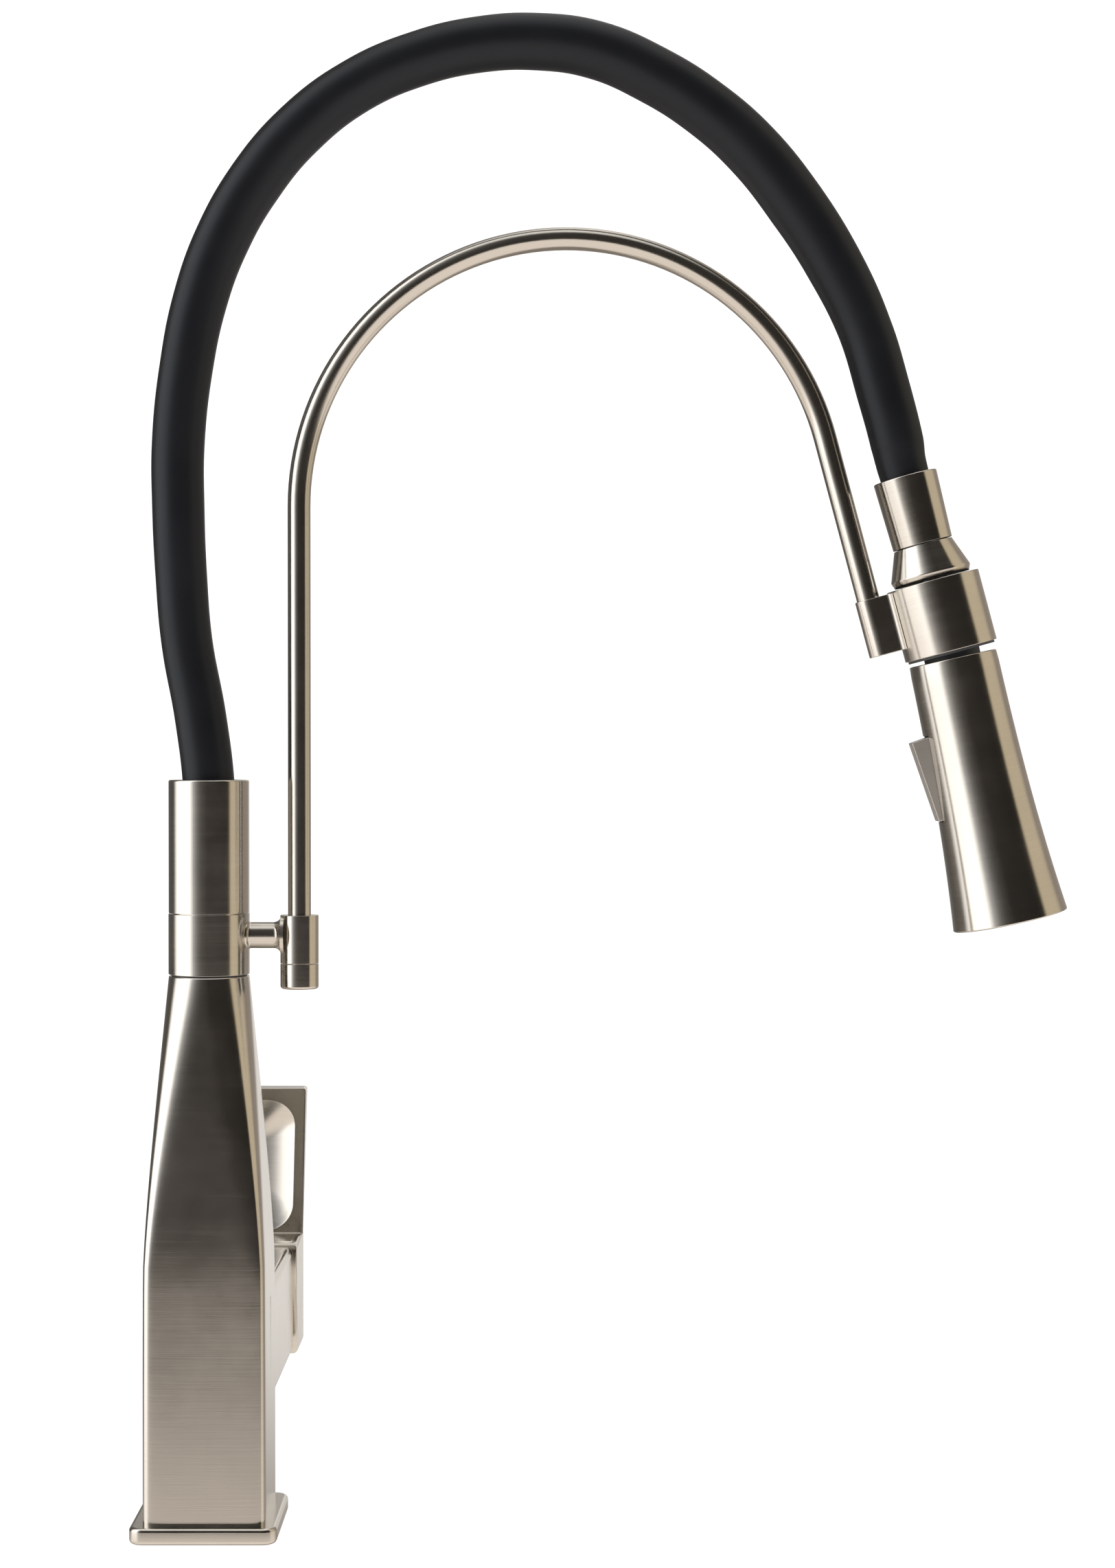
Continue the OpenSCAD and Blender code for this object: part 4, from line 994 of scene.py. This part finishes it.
def makeHeadShell():
    length = head["length"]
    outside = [(headRadius(0) - 0.2 * mm, 0, head["soft"])]
    for step in range(1, head["steps"]):
        share = step / head["steps"]
        outside.append((headRadius(share), -length * share, 0))
    outside.append((head["endRadius"], -length, head["soft"]))
    inside = [
        (head["outlet"], -length, head["lip"]), (head["outlet"], -length + head["outletDeep"], 0),
        (head["waist"], -head["waistAt"], 0), (head["inner"], -head["innerFrom"], 0),
        (head["inner"], -head["roof"], 0), (head["neck"], -head["roof"], 0), (head["neck"], 0, 0)]
    piece = turned("headShell", outside + inside, sides=128)
    gap = paddle["gap"]
    bpy.ops.object.select_all(action="DESELECT")
    bpy.ops.mesh.primitive_cube_add(
        size=1, location=(-head["slotX"], 0, -paddle["start"] - paddle["length"] / 2))
    bpy.context.object.scale = (head["slotDepth"], paddle["width"] + 2 * gap, paddle["length"] + 2 * gap)
    slot = startPiece("slot")
    joinWith(piece, slot, "DIFFERENCE")
    placed(piece, headPlace)
    finished(piece, nickelHead, "head", "nickel", "head_shell")


def makePaddle():
    start = paddle["start"]
    end = start + paddle["length"]
    topRadius = headRadius(start / head["length"]) + paddle["rise"]
    endRadius = headRadius(end / head["length"]) + paddle["proud"]
    bpy.ops.object.select_all(action="DESELECT")
    bpy.ops.mesh.primitive_cube_add(size=1)
    piece = startPiece("togglePaddle")
    for corner in piece.data.vertices:
        deep = topRadius if corner.co.z > 0 else endRadius
        corner.co = Vector((
            -deep if corner.co.x < 0 else -paddle["inner"],
            corner.co.y * paddle["width"],
            (-start - (mm if corner.co.x < 0 else 0)) if corner.co.z > 0 else -end))
    softEdges(piece, paddle["edge"], 40, 4)
    placed(piece, headPlace)
    finished(piece, satinGrey, "toggle", "satin_grey_metal", "toggle_paddle")


makeHeadShell()
makePaddle()
print("stage: head")

# floor, backdrop and light

floor = dict(size=14.0, colour=(0.3, 0.3, 0.3), glow=0.8)


def makeFloor():
    bpy.ops.object.select_all(action="DESELECT")
    bpy.ops.mesh.primitive_plane_add(size=floor["size"], location=(0, 0, -0.2 * mm))
    piece = startPiece("floor")
    material, tree, shader = newMaterial("paleFloor")
    shader.inputs["Base Color"].default_value = (*floor["colour"], 1)
    shader.inputs["Roughness"].default_value = 0.9
    shader.inputs["Specular IOR Level"].default_value = 0.0
    shader.inputs["Emission Color"].default_value = (1, 1, 1, 1)
    shader.inputs["Emission Strength"].default_value = floor["glow"]
    paint(piece, material)
    piece.visible_glossy = False


# Round the object: a dark room in front, a tall soft light to the left, a cream wall to the right and
# white behind. Azimuth runs from behind (0) by the left (0.25), the front (0.5) and the right (0.75)
# to behind (1).
roomBands = [
    (0.00, (0.88, 0.85, 0.82)), (0.03, (0.20, 0.19, 0.18)), (0.10, (0.115, 0.105, 0.095)),
    (0.19, (0.085, 0.078, 0.070)), (0.235, (1.9, 1.88, 1.86)), (0.36, (1.9, 1.89, 1.88)),
    (0.39, (0.52, 0.52, 0.53)), (0.425, (0.17, 0.168, 0.165)), (0.455, (0.07, 0.065, 0.06)),
    (0.50, (0.020, 0.016, 0.013)), (0.68, (0.012, 0.009, 0.007)), (0.695, (0.70, 0.60, 0.44)),
    (0.80, (0.66, 0.575, 0.43)), (0.84, (0.34, 0.295, 0.25)), (0.93, (0.36, 0.32, 0.29)),
    (0.965, (0.85, 0.82, 0.78)), (1.00, (0.88, 0.85, 0.82))]
tableBands = [
    (0.00, (0.30, 0.265, 0.235)), (0.08, (0.30, 0.265, 0.235)), (0.20, (1.05, 0.96, 0.88)),
    (0.80, (1.05, 0.96, 0.88)), (0.92, (0.30, 0.265, 0.235)), (1.00, (0.30, 0.265, 0.235))]


def makeRoom():
    world = bpy.data.worlds.new("studio")
    bpy.context.scene.world = world
    world.use_nodes = True
    tree = world.node_tree
    tree.nodes.clear()
    place = newNode(tree, "ShaderNodeTexCoord", (-1200, 0))
    parts = newNode(tree, "ShaderNodeSeparateXYZ", (-1000, 0))
    link(tree, place.outputs["Generated"], parts.inputs[0])
    front = newNode(tree, "ShaderNodeMath", (-800, 100), operation="MULTIPLY")
    link(tree, parts.outputs["Y"], front.inputs[0])
    front.inputs[1].default_value = -1
    turn = newNode(tree, "ShaderNodeMath", (-600, 100), operation="ARCTAN2")
    link(tree, parts.outputs["X"], turn.inputs[0])
    link(tree, front.outputs[0], turn.inputs[1])
    share = newNode(tree, "ShaderNodeMath", (-400, 100), operation="MULTIPLY_ADD")
    link(tree, turn.outputs[0], share.inputs[0])
    share.inputs[1].default_value = 0.5 / math.pi
    share.inputs[2].default_value = 0.5
    bands = rampNode(tree, roomBands, (-200, 100))
    link(tree, share.outputs[0], bands.inputs[0])
    low = newNode(tree, "ShaderNodeMapRange", (-400, -150), interpolation_type="SMOOTHSTEP")
    for key, value in (("From Min", -0.18), ("From Max", -0.285), ("To Min", 0.0), ("To Max", 1.0)):
        low.inputs[key].default_value = value
    link(tree, parts.outputs["Z"], low.inputs["Value"])
    lowMix = newNode(tree, "ShaderNodeMix", (0, 0), data_type="RGBA")
    link(tree, low.outputs["Result"], lowMix.inputs["Factor"])
    link(tree, bands.outputs[0], lowMix.inputs["A"])
    table = rampNode(tree, tableBands, (-200, -50))
    link(tree, share.outputs[0], table.inputs[0])
    link(tree, table.outputs[0], lowMix.inputs["B"])
    high = newNode(tree, "ShaderNodeMapRange", (-400, -400), interpolation_type="SMOOTHSTEP")
    for key, value in (("From Min", 0.78), ("From Max", 0.97), ("To Min", 0.0), ("To Max", 1.0)):
        high.inputs[key].default_value = value
    link(tree, parts.outputs["Z"], high.inputs["Value"])
    highMix = newNode(tree, "ShaderNodeMix", (200, 0), data_type="RGBA")
    link(tree, high.outputs["Result"], highMix.inputs["Factor"])
    link(tree, lowMix.outputs["Result"], highMix.inputs["A"])
    highMix.inputs["B"].default_value = (1.1, 1.08, 1.05, 1)
    room = newNode(tree, "ShaderNodeBackground", (400, 0))
    link(tree, highMix.outputs["Result"], room.inputs["Color"])
    plain = newNode(tree, "ShaderNodeBackground", (400, -200))
    plain.inputs["Color"].default_value = (1, 1, 1, 1)
    plain.inputs["Strength"].default_value = 1.15
    path = newNode(tree, "ShaderNodeLightPath", (400, 300))
    mix = newNode(tree, "ShaderNodeMixShader", (600, 0))
    link(tree, path.outputs["Is Glossy Ray"], mix.inputs[0])
    link(tree, plain.outputs[0], mix.inputs[1])
    link(tree, room.outputs[0], mix.inputs[2])
    end = newNode(tree, "ShaderNodeOutputWorld", (800, 0))
    link(tree, mix.outputs[0], end.inputs["Surface"])


makeFloor()
makeRoom()
print("stage: room")
